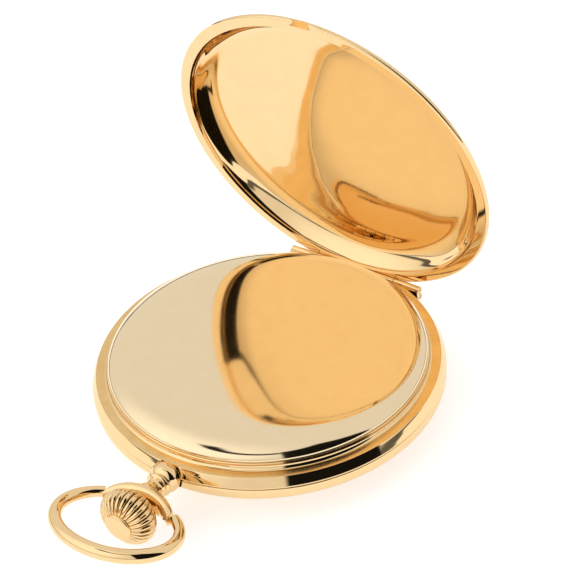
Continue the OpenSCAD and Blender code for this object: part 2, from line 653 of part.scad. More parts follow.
module main_plate() {
    color("silver") lift() difference() {
        union() {
            disc(plate_r, plate_low_z, plate_top_z);
            difference() {
                disc(plate_r, dial_back_z + 0.02, plate_low_z + e);
                disc(plate_r - 1, dial_back_z - 1, plate_low_z + 2 * e);
            }
        }
        at(barrel_at) disc(arbor_r + pivot_fit, -4, 0);
        at(centre_at) disc(2 * centre_arbor_r, -4, 0);
        pivot_holes(concat(train_points, [pallet_at, balance_at]), jewel_r, -3, 0);
        along_y(stem_r + 0.05, -case_r, -arbor_hole_y);
        block(-keyless_half_w, keyless_half_w, winding_y - 1.02, winding_y + 3.48, -4, 0);
        for (a = case_screw_angles) at(case_screw_at(a)) disc(screw_hole_r, plate_top_z - 1, 0);
        for (p = plate_screws) at(p) disc(screw_hole_r, plate_low_z + 0.1, 0);
        for (p = dial_feet) at(p) disc(dial_foot_r + 0.02, -4, plate_top_z - 0.3);
        for (p = [lever_at, yoke_at]) at(p) disc(lever_post_r + pivot_fit, -4, 0);
        at(minute_at) disc(post_r + pivot_fit, -4, plate_top_z - 0.3);
        at(setting_at) disc(post_r + pivot_fit, -4, plate_low_z + 0.4);
    }
}

// Bridges are cut from one disc, with a gap between them and a bay for the balance
bridge_r = plate_r - 0.6;
bridge_foot_in = bridge_r - 1.6;
module bridge_disc() {
    difference() {
        union() {
            disc(bridge_r, bridge_low_z, bridge_top_z);
            difference() {
                disc(bridge_r, plate_top_z, bridge_low_z + e);
                disc(bridge_foot_in, plate_top_z - 1, bridge_low_z + 1);
            }
        }
        at(balance_at) disc(balance_r + 0.5, -2, 3);
        for (a = case_screw_angles) at(case_screw_at(a)) disc(case_screw_head_r + 0.25, -2, 3);
    }
}
// The line that parts the two bridges runs from the stem to the balance's bay
function parting(gap) = [for (p = [[2, -30], [5.4, -16.4], [5.4, -8], [-1.2, -1.6], [-3.4, 4],
    [-9, 9.2], [-30, 11], [-30, -30]]) k * p - [gap, 0]];
module barrel_side(gap) { linear_extrude(8, center = true) polygon(parting(gap)); }

module barrel_bridge() {
    color("lightgray") lift() difference() {
        intersection() { bridge_disc(); barrel_side(0.1); }
        at(barrel_at) disc(arbor_r + pivot_fit, -4, 4);
        at(barrel_at) disc(barrel_pitch_r + 0.4, plate_top_z - 1, bridge_low_z - e);
        at(crown_wheel_at) disc(contrate_r + 1, -2, bridge_top_z + 1);
        along_y(stem_bay_r, -case_r, -9);
        for (p = barrel_bridge_screws) at(p) screw_hole();
        at(click_at) disc(0.35 + pivot_fit, -1, 4);
    }
}

module screw_hole() {
    disc(head_sink_r, bridge_top_z - head_h, bridge_top_z + 1);
    disc(screw_hole_r, plate_top_z - 1, bridge_top_z + 1);
}

module train_bridge() {
    color("lightgray") lift() difference() {
        bridge_disc();
        barrel_side(-0.1);
        at(crown_wheel_at) disc(crown_wheel_pitch_r + 0.6, -2, bridge_top_z + 1);
        along_y(stem_bay_r, -case_r, -9);
        at(centre_at) disc(jewel_r, -1, 4);
        pivot_holes(train_points, jewel_r, -1, 4);
        for (p = train_bridge_screws) at(p) screw_hole();
        block(-30 * k, 3 * k, 2 * k, 30 * k, -3, 4);
    }
}

cock_z = 1.1;
cock_t = 0.7;
balance_cock_foot = k * [-9.5, 15.2];
cock_screw_at = balance_cock_foot + k * [-1.2, -0.4];
cock_arm_at = balance_cock_foot + k * [0.6, -0.4];
module balance_cock() {
    color("lightgray") lift() difference() {
        union() {
            intersection() {
                disc(bridge_r, plate_top_z, cock_z + cock_t);
                at(balance_cock_foot, plate_top_z, -12) translate([-3.4 * k, -3.4 * k, 0])
                    cube([6.2 * k, 7 * k, cock_z + cock_t - plate_top_z]);
            }
            hull() {
                at(cock_arm_at) cylinder(h = e, r = 2.4 * k, $fn = 32);
                at(balance_at) cylinder(h = e, r = 2.1 * k, $fn = 32);
                at(cock_arm_at, cock_z) cylinder(h = cock_t, r = 2.4 * k, $fn = 32);
                at(balance_at, cock_z) cylinder(h = cock_t, r = 2.1 * k, $fn = 32);
            }
        }
        at(balance_at) disc(balance_r + 0.3, -2, cock_z);
        at(balance_at) disc(cap_jewel_r, 0, 4);
        at(cock_screw_at) cock_screw_hole();
    }
}
module cock_screw_hole() {
    disc(head_sink_r, cock_z + cock_t - head_h, 4);
    disc(screw_hole_r, plate_top_z - 1, 4);
}

pallet_cock_foot = k * [12.6, 11];
module pallet_cock() {
    color("lightgray") lift() difference() {
        union() {
            at(pallet_cock_foot) disc(1.3, plate_top_z, 0);
            hull() {
                at(pallet_cock_foot, -0.45) cylinder(h = 0.45, r = 1.3, $fn = 32);
                at(pallet_at, -0.45) cylinder(h = 0.45, r = 1, $fn = 32);
            }
        }
        at(pallet_at) disc(pivot_r + pivot_fit, -2, 1);
        at(pallet_cock_foot) disc(screw_hole_r, -2, 1);
    }
}

barrel_bridge_screws = k * [[-18.2, 2.2], [-12.4, -15.4], [3.6, -17.6]];
train_bridge_screws = k * [[17.9, 6.2], [16.2, -9.4], [7.6, -16.9]];
plate_screws = concat(barrel_bridge_screws, train_bridge_screws,
    [cock_screw_at, pallet_cock_foot]);
module bridge_screws() {
    color("steelblue") lift() {
        for (p = concat(barrel_bridge_screws, train_bridge_screws))
            at(p, bridge_top_z + 0.05, p[0] * 9)
                screw(head_r, head_h, shank_r, bridge_top_z - plate_top_z + 0.8);
        at(cock_screw_at, cock_z + cock_t + 0.05) screw(head_r, head_h, shank_r, 3.6);
        at(pallet_cock_foot, 0.35) screw(0.8, 0.34, shank_r, 2.3);
        at(crown_wheel_at, bridge_top_z + 0.72) difference() {
            union() {
                disc(crown_screw_r, -0.3, 0);
                disc(crown_post_r, -0.72, -0.3 + e);
            }
            block(-2, 2, -0.15, 0.15, -0.15, 1);
        }
    }
}

module jewel(z0, z1, bore) {
    difference() { disc(jewel_r, z0, z1); disc(bore, z0 - 1, z1 + 1); }
}
module upper_jewel(r) { jewel(bridge_top_z - 0.4, bridge_top_z - 0.1, r + pivot_fit); }
module lower_jewel(r) { jewel(plate_low_z + 0.2, plate_low_z + 0.6, r + pivot_fit); }
module jewels() {
    color("crimson") lift() {
        for (p = train_points) {
            at(p) upper_jewel(pivot_r);
            at(p) lower_jewel(pivot_r);
        }
        at(centre_at) upper_jewel(centre_arbor_r);
        at(pallet_at) lower_jewel(pivot_r);
        at(balance_at) lower_jewel(staff_pivot_r);
        at(balance_at) difference() {
            disc(cap_jewel_r, cock_z + 0.1, cock_z + 0.5);
            disc(staff_pivot_r + pivot_fit, cock_z - 1, cock_z + 0.4);
        }
    }
}

// Going barrel
arbor_r = 0.9;
arbor_drum_r = 1.7;
arbor_square_w = 1.1;
square_fit = 0.02;
barrel_low_z = plate_top_z + 0.08;
barrel_top_z = bridge_low_z - 0.52;
module mainspring_barrel() {
    color("tan") lift() at(barrel_at) difference() {
        union() {
            translate([0, 0, barrel_low_z]) gear(barrel_teeth, barrel_pitch_r, 0.22,
                mesh_angle(centre_at, barrel_at, centre_leaves, barrel_teeth));
            disc(barrel_pitch_r - 0.6, barrel_low_z, barrel_top_z);
        }
        disc(barrel_pitch_r - 1.2, barrel_low_z + 0.3, barrel_top_z + 1);
        disc(arbor_r + pivot_fit, -3, 3);
    }
}
barrel_pitch_r = pitch_r(centre_at, barrel_at, barrel_teeth, centre_leaves);
module barrel_cover() {
    color("tan") lift() at(barrel_at) difference() {
        disc(barrel_pitch_r - 1.2, barrel_top_z - 0.22, barrel_top_z);
        disc(arbor_r + pivot_fit, -3, 3);
    }
}
module barrel_arbor() {
    color("silver") lift() at(barrel_at) {
        disc(arbor_r, plate_low_z + 0.1, bridge_top_z + 0.02);
        disc(arbor_drum_r, barrel_low_z + 0.34, barrel_top_z - 0.26);
        square_z(arbor_square_w, bridge_top_z + 0.02 - e, bridge_top_z + 0.51);
    }
}

// Flat spiral strip: turns, inner radius, pitch and thickness; its least gap is the pitch less the strip
function spiral(r0, pitch, turns, t, steps) = concat(
    [for (i = [0:turns * steps]) polar(r0 + pitch * i / steps - t / 2, 360 * i / steps)],
    [for (i = [turns * steps:-1:0]) polar(r0 + pitch * i / steps + t / 2, 360 * i / steps)]);
spring_turns = 8;
spring_t = 0.2;
spring_in_r = arbor_drum_r + 0.12;
spring_out_r = barrel_pitch_r - 1.31;
spring_pitch = (spring_out_r - spring_in_r) / spring_turns;
echo(mainspring_least_gap = spring_pitch - spring_t);
module mainspring() {
    color("slategray") lift() at(barrel_at, barrel_low_z + 0.36)
        linear_extrude(barrel_top_z - barrel_low_z - 0.64)
            polygon(spiral(spring_in_r, spring_pitch, spring_turns, spring_t, 24));
}

// Wheel with arms, fixed to its pinion
module spoked(n, r, h, turn, arms, hub) {
    difference() {
        gear(n, r, h, turn);
        difference() {
            translate([0, 0, -e]) cylinder(h = h + 2 * e, r = r * 0.8);
            translate([0, 0, -2 * e]) cylinder(h = h + 4 * e, r = hub);
            for (i = [0:arms - 1]) rotate([0, 0, 360 * i / arms + turn])
                translate([0, -r * 0.055, -2 * e]) cube([r, r * 0.11, h + 4 * e]);
        }
    }
}

centre_pitch_r = pitch_r(centre_at, third_at, centre_teeth, third_leaves);
third_pitch_r = pitch_r(third_at, fourth_at, third_teeth, fourth_leaves);
fourth_pitch_r = pitch_r(fourth_at, escape_at, fourth_teeth, escape_leaves);
third_turn = mesh_angle(centre_at, third_at, centre_teeth, third_leaves);
fourth_turn = mesh_angle(third_at, fourth_at, third_teeth, fourth_leaves, third_turn);
escape_turn = mesh_angle(fourth_at, escape_at, fourth_teeth, escape_leaves, fourth_turn);

// Levels of the wheels and their pinions
wheel_t = 0.15;
arms = 5;
hub_r = 1.1;
arbor_body_r = 0.35;
pivot_top_z = bridge_top_z - 0.2;
pivot_low_z = plate_low_z + 0.3;
centre_wheel_z = 0.14;
third_wheel_z = -0.92;
third_pinion_z = -0.4;
fourth_wheel_z = -0.35;
fourth_pinion_z = -1.15;
escape_wheel_z = -0.9;
escape_pinion_z = -0.6;
escape_wheel_t = 0.18;

module centre_wheel() {
    color("khaki") lift() at(centre_at) {
        at([0, 0], centre_wheel_z) spoked(centre_teeth, centre_pitch_r, wheel_t, 0, arms, 1.4);
        at([0, 0], barrel_low_z) gear(centre_leaves, barrel_pitch_r * centre_leaves / barrel_teeth, 1.4);
        disc(centre_arbor_r, dial_face_z - 0.7, bridge_top_z - 0.12);
    }
}
module third_wheel() {
    color("khaki") lift() at(third_at) {
        at([0, 0], third_wheel_z) spoked(third_teeth, third_pitch_r, wheel_t, third_turn, arms, hub_r);
        at([0, 0], third_pinion_z)
            gear(third_leaves, centre_pitch_r * third_leaves / centre_teeth, 0.75, third_turn);
        disc(arbor_body_r, -1.1, 0.37);
        disc(pivot_r, pivot_low_z, pivot_top_z);
    }
}
module fourth_wheel() {
    color("khaki") lift() at(fourth_at) {
        at([0, 0], fourth_wheel_z)
            spoked(fourth_teeth, fourth_pitch_r, wheel_t, fourth_turn, arms, hub_r);
        at([0, 0], fourth_pinion_z)
            gear(fourth_leaves, third_pitch_r * fourth_leaves / third_teeth, 0.5, fourth_turn);
        disc(arbor_body_r, -1.2, 0.3);
        disc(pivot_r, dial_face_z - 0.02, pivot_top_z);
    }
}

// Escape wheel: fifteen raked teeth on a light rim
escape_r = 3.9 * k;
module escape_wheel() {
    color("khaki") lift() at(escape_at) {
        at([0, 0], escape_wheel_z, escape_turn) difference() {
            linear_extrude(escape_wheel_t) polygon([for (i = [0:escape_teeth - 1], k = [0:3])
                polar([escape_r - 0.75, escape_r, escape_r - 0.05, escape_r - 0.75][k],
                    (i + [0, 0.42, 0.56, 0.36][k]) * 360 / escape_teeth)]);
            difference() {
                translate([0, 0, -e]) cylinder(h = 1, r = escape_r - 1.1);
                translate([0, 0, -2 * e]) cylinder(h = 2, r = 0.8);
                for (i = [0:3]) rotate([0, 0, 90 * i])
                    translate([0, -0.2, -2 * e]) cube([escape_r, 0.4, 2]);
            }
        }
        at([0, 0], escape_pinion_z)
            gear(escape_leaves, fourth_pitch_r * escape_leaves / fourth_teeth, 0.6, escape_turn);
        disc(0.3, -1.2, 0.3);
        disc(pivot_r, pivot_low_z, pivot_top_z);
    }
}

// Lever: two pallet arms round the escape wheel and a fork towards the balance
fork_angle = direction(pallet_at, balance_at);
roller_pin_at = 0.95;
fork_len = distance(pallet_at, balance_at) - roller_pin_at;
// Inner edge of the pallet arms, seen from the escape wheel's centre, p degrees from the lever's line
pallet_reach = 44;
stone_at = pallet_reach - 3;
function pallet_arm(p) = polar(escape_r + 0.08 + 0.24 * abs(p) / pallet_reach, p);
pallet_gap = distance(pallet_at, escape_at);
module pallet_fork() {
    color("silver") lift() at(pallet_at, escape_wheel_z, fork_angle) {
        difference() {
            union() {
                linear_extrude(escape_wheel_t) polygon([[0.2, -0.3], [fork_len - 0.7, -0.2],
                    [fork_len, -0.5], [fork_len, 0.5], [fork_len - 0.7, 0.2], [0.2, 0.3]]);
                translate([-pallet_gap, 0, 0]) linear_extrude(escape_wheel_t) polygon(concat(
                    [for (i = [-5:5]) pallet_arm(i * pallet_reach / 5)],
                    arc([0, 0], escape_r + 0.85, pallet_reach, -pallet_reach, 10)));
                disc(0.34, 0, 0.3);
            }
            translate([fork_len - 0.45, -0.16, -1]) cube([1, 0.32, 3]);
            translate([-pallet_gap, 0, 0]) for (s = [-1, 1]) rotate([0, 0, s * stone_at])
                translate([escape_r, -0.14, -1]) cube([0.75, 0.28, 3]);
        }
        disc(pivot_r, pivot_low_z - escape_wheel_z, 0.87);
    }
}
module pallet_stones() {
    color("crimson") lift() at(pallet_at, escape_wheel_z, fork_angle) translate([-pallet_gap, 0, e])
        for (s = [-1, 1]) rotate([0, 0, s * stone_at])
            translate([escape_r + 0.3, -0.13, 0]) cube([0.44, 0.26, 0.16]);
}

balance_z = 0.42;
rim_t = 0.75;
module balance_wheel() {
    color("darkkhaki") lift() at(balance_at, balance_z) {
        difference() {
            cylinder(h = 0.5, r = balance_r);
            translate([0, 0, -1]) cylinder(h = 3, r = balance_r - rim_t);
        }
        difference() {
            union() {
                translate([-balance_r + 0.4, -0.45, 0]) cube([2 * balance_r - 0.8, 0.9, 0.16]);
                cylinder(h = 0.16, r = 0.9);
            }
            translate([0, 0, -1]) cylinder(h = 3, r = 0.4);
        }
        for (i = [0:13]) rotate([0, 0, 360 / 14 * (i + 0.5)])
            translate([balance_r - 0.1, 0, 0.25]) rotate([0, 90, 0]) cylinder(h = 0.3, r = 0.22);
    }
}
module balance_staff() {
    color("silver") lift() at(balance_at) {
        disc(staff_pivot_r, pivot_low_z, cock_z + 0.35);
        disc(0.4, -0.6, balance_z + 0.16);
        disc(0.55, balance_z + 0.16, balance_z + 0.36);
        difference() {
            disc(1.3, -0.62, -0.42);
            rotate([0, 0, direction(balance_at, pallet_at)]) translate([1, -0.2, -2]) cube([1, 0.4, 4]);
        }
        rotate([0, 0, direction(balance_at, pallet_at)]) translate([roller_pin_at, 0, 0])
            disc(0.13, -0.69, -0.43);
    }
}

hair_r = 0.68;
hair_pitch = 0.5;
hair_turns = 6;
hair_t = 0.09;
module hairspring() {
    color("royalblue") lift() at(balance_at, balance_z + 0.2)
        linear_extrude(0.16) polygon(spiral(hair_r, hair_pitch, hair_turns, hair_t, 24));
}
echo(hairspring_least_gap = hair_pitch - hair_t);

// Pointer over the cock, and a short arm whose pin stands beside the hairspring's last coil
curb_r = hair_r + hair_pitch * hair_turns + hair_t / 2 + 0.17;
curb_angle = 259;
pointer_angle = 169;
module regulator() {
    color("silver") lift() at(balance_at, cock_z + cock_t + 0.04) difference() {
        union() {
            cylinder(h = 0.18, r = 1.15);
            rotate([0, 0, pointer_angle]) translate([0, -0.2, 0]) cube([5.2, 0.4, 0.18]);
            rotate([0, 0, curb_angle]) translate([0, -0.3, 0]) cube([curb_r + 0.25, 0.6, 0.18]);
            rotate([0, 0, curb_angle]) translate([curb_r, 0, -1.16]) cylinder(h = 1.2, r = 0.12);
        }
        translate([0, 0, -1]) cylinder(h = 3, r = 0.55);
    }
}

// Winding work on the bridge
work_z = bridge_top_z + 0.05;
crown_post_r = 1.2;
crown_screw_r = 1.9;
crown_wheel_pitch_r = pitch_r(crown_wheel_at, barrel_at, crown_teeth, ratchet_teeth);
module ratchet_wheel() {
    color("silver") lift() at(barrel_at, work_z) difference() {
        gear(ratchet_teeth, ratchet_pitch_r, 0.4,
            mesh_angle(crown_wheel_at, barrel_at, crown_teeth, ratchet_teeth));
        square_z(arbor_square_w + 2 * square_fit, -1, 2);
    }
}
contrate_r = 2.58 * k;
winding_r = 1.6;
contrate_low_z = axis_z + winding_r - 0.28;
module crown_wheel() {
    color("silver") lift() at(crown_wheel_at) difference() {
        union() {
            translate([0, 0, work_z]) gear(crown_teeth, crown_wheel_pitch_r, 0.4);
            disc(contrate_r + 0.3, contrate_low_z + 0.5, work_z + e);
            for (i = [0:contrate_teeth - 1]) rotate([0, 0, 360 * (i + 0.5) / contrate_teeth - 90])
                translate([contrate_r - 0.2, -0.13, contrate_low_z]) cube([0.42, 0.26, 0.5 + e]);
        }
        disc(contrate_r - 0.3, contrate_low_z - 1, work_z - 0.05);
        disc(crown_post_r + pivot_fit, -3, 4);
        disc(crown_screw_r + 0.06, work_z + 0.36, 4);
    }
}
ratchet_pitch_r = crown_wheel_pitch_r * ratchet_teeth / crown_teeth;
click_at = barrel_at + polar(ratchet_pitch_r + 1.97, 100);
click_turn = -36;
module click() {
    color("silver") lift() at(click_at) {
        disc(0.35, bridge_low_z + 0.1, work_z + 0.1);
        translate([0, 0, work_z]) rotate([0, 0, click_turn]) linear_extrude(0.34)
            polygon([[0.7, 0.5], [-0.7, 0.6], [-0.7, -0.6], [0.6, -0.7], [2.1, -0.16], [2.1, 0.06]]);
    }
}
module click_spring() {
    color("slategray") lift() translate([0, 0, work_z]) {
        at(click_at + [-0.3, 2.3]) strip([1.7, 1.92], [-60, 60], [0, 0.25]);
        at(click_at + [0.5, 3.9]) disc(0.55, 0, 0.3);
    }
}
// Keyless work in the plate, on the crown's axis
winding_square_w = 0.8;

winding_y = crown_wheel_at[1] - contrate_r;
arbor_in_y = winding_y + 4.28;
arbor_hole_y = -4.48 - winding_y;
module winding_stem() {
    color("silver") lift() difference() {
        union() {
            along_y(stem_r, 0.2 - plate_r, winding_y - 0.7);
            square_y(winding_square_w, winding_y - 0.7 - e, winding_y + 3.19);
            along_y(0.35, winding_y + 2.88, arbor_in_y);
        }
        square_y(socket_w, -plate_r - 1, -socket_floor_y);
    }
}
module winding_pinion() {
    color("silver") lift() translate([0, winding_y, axis_z]) rotate([90, 0, 0]) difference() {
        union() {
            translate([0, 0, -0.5]) gear(winding_teeth, winding_r - 0.12, 1, 90);
            translate([0, 0, -0.62]) cylinder(h = 0.14, r = 1.2);
        }
        square_z(winding_square_w, -2, 2);
    }
}
clutch_y0 = winding_y + 1.15;
clutch_r = 0.9;
module sliding_pinion() {
    color("silver") lift() difference() {
        union() {
            along_y(clutch_r, clutch_y0, clutch_y0 + 0.5);
            along_y(clutch_r - 0.2, clutch_y0 + 0.4, clutch_y0 + 0.9);
            along_y(clutch_r, clutch_y0 + 0.8, clutch_y0 + 1.1);
            for (i = [0:11]) translate([0, clutch_y0 + 1.1 - e, axis_z]) rotate([0, 30 * i, 0])
                translate([0.62, 0, -0.08]) cube([0.26, 0.26, 0.16]);
        }
        square_y(winding_square_w + 2 * square_fit, clutch_y0 - 1, clutch_y0 + 2);
    }
}
lever_at = [3.6, winding_y - 2.02];
yoke_at = [4.6, winding_y + 2.58];
lever_low_z = dial_back_z + 0.35;
module lever(p, outline) {
    color("silver") lift() {
        at(p) disc(lever_post_r, lever_low_z, plate_top_z + 0.2);
        at(p, lever_low_z) linear_extrude(0.3) polygon(outline);
    }
}
module setting_lever() {
    lever(lever_at, [[0.8, 0.8], [0.8, -0.8], [-0.8, -0.8], [-2.6, 0.1], [-2.6, 0.7], [-0.8, 0.8]]);
}
module yoke() {
    lever(yoke_at, [[0.8, 0.7], [0.8, -0.7], [-0.6, -0.7], [-3.2, -1.1], [-3.2, -0.75], [-0.6, 0.7]]);
}

// Motion work under the dial
motion_z = plate_low_z - 0.42;
cannon_r = 0.52;
hour_pipe_r = 0.85;
cannon_pitch_r = pitch_r(centre_at, minute_at, cannon_leaves, minute_teeth);
minute_pitch_r = cannon_pitch_r * minute_teeth / cannon_leaves;
hour_pitch_r = pitch_r(centre_at, minute_at, hour_teeth, minute_leaves);
setting_pitch_r = distance(minute_at, setting_at) - distance(centre_at, minute_at) + cannon_pitch_r;
minute_turn = mesh_angle(centre_at, minute_at, cannon_leaves, minute_teeth);
module cannon_pinion() {
    color("silver") lift() difference() {
        union() {
            translate([0, 0, motion_z + 0.04]) gear(cannon_leaves, cannon_pitch_r, 0.34);
            disc(cannon_r, dial_face_z - 0.85, motion_z + 0.1);
        }
        disc(centre_arbor_r, -6, 0);
    }
}
module minute_wheel() {
    color("khaki") lift() at(minute_at) {
        at([0, 0], motion_z + 0.08) gear(minute_teeth, minute_pitch_r, 0.2, minute_turn);
        at([0, 0], motion_z - 0.36)
            gear(minute_leaves, hour_pitch_r * minute_leaves / hour_teeth, 0.46, minute_turn);
        disc(post_r, motion_z, plate_top_z - 0.35);
    }
}
module hour_wheel() {
    color("khaki") lift() difference() {
        union() {
            translate([0, 0, motion_z - 0.34]) gear(hour_teeth, hour_pitch_r, 0.2,
                mesh_angle(minute_at, centre_at, minute_leaves, hour_teeth, minute_turn));
            disc(hour_pipe_r, dial_face_z - 0.5, motion_z - 0.2);
        }
        disc(cannon_r + pivot_fit, -6, 0);
    }
}
module setting_wheel() {
    color("khaki") lift() at(setting_at) {
        translate([0, 0, motion_z + 0.08]) gear(setting_teeth, setting_pitch_r, 0.2,
            mesh_angle(minute_at, setting_at, minute_teeth, setting_teeth, minute_turn));
        disc(post_r, motion_z, plate_low_z + 0.35);
    }
}

dial_r = plate_r - dial_edge;
dial_feet = [for (a = [60, 190]) polar(dial_r - 3.4, a)];
module dial() {
    color("ivory") lift() {
        difference() {
            disc(dial_r, dial_face_z, dial_back_z);
            disc(hour_pipe_r + 0.1, -6, 0);
            at(fourth_at) disc(seconds_dial_r, -6, 0);
        }
        for (p = dial_feet) at(p) disc(dial_foot_r, dial_back_z - e, plate_top_z - 0.4);
    }
}
module seconds_dial() {
    color("ivory") lift() at(fourth_at) difference() {
        union() {
            disc(seconds_dial_r - 0.02, dial_face_z + 0.2, dial_back_z);
            disc(seconds_dial_r + 0.4, dial_back_z, dial_back_z + 0.1);
        }
        disc(0.35, -6, 0);
    }
}

// Spade hand along +X with its boss on the axis, thickness t, its face down
hand_t = 0.13;
module hand(length, boss, bore, t, width) {
    difference() {
        union() {
            cylinder(h = t, r = boss);
            linear_extrude(t) for (s = [0, 1]) mirror([0, s, 0])
                polygon([[0, 0], [length, 0], [length, 0.03], [length * 0.86, width * 0.75],
                    [length * 0.78, width * 1.5], [length * 0.7, width * 1.25],
                    [length * 0.62, width * 0.3], [0, width * 0.5]]);
        }
        translate([0, 0, -1]) cylinder(h = 3, r = bore);
    }
}
module hour_hand() {
    color("midnightblue") lift() translate([0, 0, dial_face_z - 0.42]) rotate([0, 0, hour_angle])
        hand(dial_r - 8.9, 1.35, hour_pipe_r, hand_t, 0.62);
}
module minute_hand() {
    color("midnightblue") lift() translate([0, 0, dial_face_z - 0.8]) rotate([0, 0, minute_angle])
        hand(dial_r - 2.9, 1.15, cannon_r, hand_t, 0.5);
}
module seconds_hand() {
    color("midnightblue") lift() at(fourth_at, dial_face_z) rotate([0, 0, seconds_angle]) difference() {
        union() {
            cylinder(h = 0.1, r = 0.42);
            translate([-1.4, -0.08, 0]) cube([seconds_dial_r + 0.7, 0.16, 0.1]);
        }
        translate([0, 0, -1]) cylinder(h = 3, r = pivot_r);
    }
}

case_middle();
back_lid();
back_hinge_pin();
front_lid();
front_hinge_pin();
cuvette();
cuvette_hinge_pin();
bezel();
crystal();
pendant();
pendant_sleeve();
bow();
bow_pins();
crown();
crown_stem();
lock_spring();
lift_spring();
case_screws();
main_plate();
barrel_bridge();
train_bridge();
balance_cock();
pallet_cock();
bridge_screws();
jewels();
mainspring_barrel();
barrel_cover();
barrel_arbor();
mainspring();
centre_wheel();
third_wheel();
fourth_wheel();
escape_wheel();
pallet_fork();
pallet_stones();
balance_wheel();
balance_staff();
hairspring();
regulator();
ratchet_wheel();
crown_wheel();
click();
click_spring();
winding_stem();
winding_pinion();
sliding_pinion();
setting_lever();
yoke();
setting_wheel();
cannon_pinion();
minute_wheel();
hour_wheel();
dial();
seconds_dial();
hour_hand();
minute_hand();
seconds_hand();
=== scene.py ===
import json
import math

import bmesh
import bpy
import numpy as np
from mathutils import Matrix, Vector


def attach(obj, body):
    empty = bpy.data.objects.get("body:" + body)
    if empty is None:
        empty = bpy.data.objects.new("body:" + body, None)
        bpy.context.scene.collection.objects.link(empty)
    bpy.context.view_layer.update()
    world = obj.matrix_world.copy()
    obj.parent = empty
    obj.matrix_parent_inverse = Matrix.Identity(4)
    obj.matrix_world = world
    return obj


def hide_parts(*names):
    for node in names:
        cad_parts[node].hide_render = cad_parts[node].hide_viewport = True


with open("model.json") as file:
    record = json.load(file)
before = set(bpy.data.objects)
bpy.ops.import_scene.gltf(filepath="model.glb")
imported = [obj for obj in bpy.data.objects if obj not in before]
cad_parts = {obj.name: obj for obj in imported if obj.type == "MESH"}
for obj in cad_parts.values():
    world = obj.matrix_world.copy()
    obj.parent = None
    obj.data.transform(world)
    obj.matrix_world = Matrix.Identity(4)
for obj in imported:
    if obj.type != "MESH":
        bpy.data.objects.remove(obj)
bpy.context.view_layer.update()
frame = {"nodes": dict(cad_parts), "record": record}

# Sizes are in millimetres, and heights are measured from the flat ring of the case.
MM = 0.001
RING_Z = 8.2
BAND_Z = -1.7
COLLAR_H = 1.0
RING_IN_R = 23.9
RING_OUT_R = 25.3
CUVETTE_R = 23.4
DOME_FOOT = (23.43, 1.25)
DOME_TOP = 3.3
DOME_DROP = 1.33
DOME_REACH = 23.0
DOME_BEND = 11.65
DOME_EDGE = 22.6
LID_H = 4.4
COVER_WALL = 0.4
LID_GAP = 0.08
LID_ANGLE = 78.7
LID_FOOT_Z = -1.78
LID_CHORD_Y = 24.89
CASE_CHORD_Y = 24.52
FRONT_H = 6.42

# Both covers have hinges of the same length and thickness, one above the other.
HINGE_Y = 24.44
HINGE_LEN = 22.8
BACK_HINGE_Z = -0.35
FRONT_HINGE_Z = -1.57
KNUCKLE_R = 0.55
PIN_R = 0.28
KNUCKLE_COUNT = 5
KNUCKLE_GAP = 0.05
KNUCKLE_ROOM = 0.07
END_ROOM = 0.03
WEB_INSET = 0.02

CUVETTE_HINGE_Y = 23.15
CUVETTE_HINGE_Z = 0.8
CUVETTE_HINGE_LEN = 8.0
CUVETTE_KNUCKLE_R = 0.36
CUVETTE_PIN_R = 0.2
CUVETTE_ROOM_R = 0.42
CUVETTE_ROOM_HALF = 4.03

# The crown, the pendant and the bow lie along -Y, and this is their axis.
AXIS_Z = -1.7
SOCKET_R = 2.28
NECK_R = 2.45
BEAD_R = 2.3
PIVOT_Y = 33.2
TIP_X = 5.45
HEAD_SWEEP = 2.15
HEAD_LEAN = 24
HEAD_TIP_HALF = 0.78
HEAD_DEEPER = 0.42
HEAD_HIGHER = 1.25
HEAD_RINGS = 49
HEAD_SIDES = 40
CROWN_R = 4.35
CROWN_Y = 33.0
CROWN_LEN = 5.0
CROWN_RIBS = 28
CROWN_ROWS = 40
CROWN_FOOT_ANGLE = 36
CROWN_SWEEP = 112
CROWN_DRAW_IN = 0.6
CROWN_DRAW_FROM = 0.85
CROWN_DRAW_SPAN = 0.15
RIB_STEPS = 14
RIB_DEPTH = 0.55
STEM_ROOM_R = 1.62
BOW_HALF_W = 9.25
BOW_HALF_L = 6.82
BOW_REACH = 4.7
BOW_END_R = 0.78
BOW_MIDDLE_R = 1.05
BOW_ANGLE = -10.9
BOW_RINGS = 161
BOW_SIDES = 32

DIAL_PRINT_Z = -3.902
SECONDS_PRINT_Z = -3.702
NUMBERS_Z = -3.91
PRINT_THICK = 0.015
SECONDS_CENTRE = (10.6, 0)

# How finely the curves are drawn, how corners are rounded, and how far a cutting shape reaches.
AXIS_SIDES = 96
CUTTER_SIDES = 128
FILLET = 0.04
FILLET_SHARE = 0.45
FILLET_STEPS = 6
LEAST_BEND = 0.12
TINY = 1e-6
SAME = 1e-9
FAR = 30


# Meshes
def angles(sides):
    """Even angles once round."""
    return np.arange(sides) * 2 * math.pi / sides


def between(a, b, low, high, value):
    """The point on the line from a to b that a value marks on the scale from low to high."""
    return a + (b - a) * (value - low) / (high - low)


def round_off(start, corner, end, t):
    """A point on the curve that leaves the start towards the corner and comes from there to the end."""
    return (1 - t) ** 2 * start + 2 * t * (1 - t) * corner + t * t * end


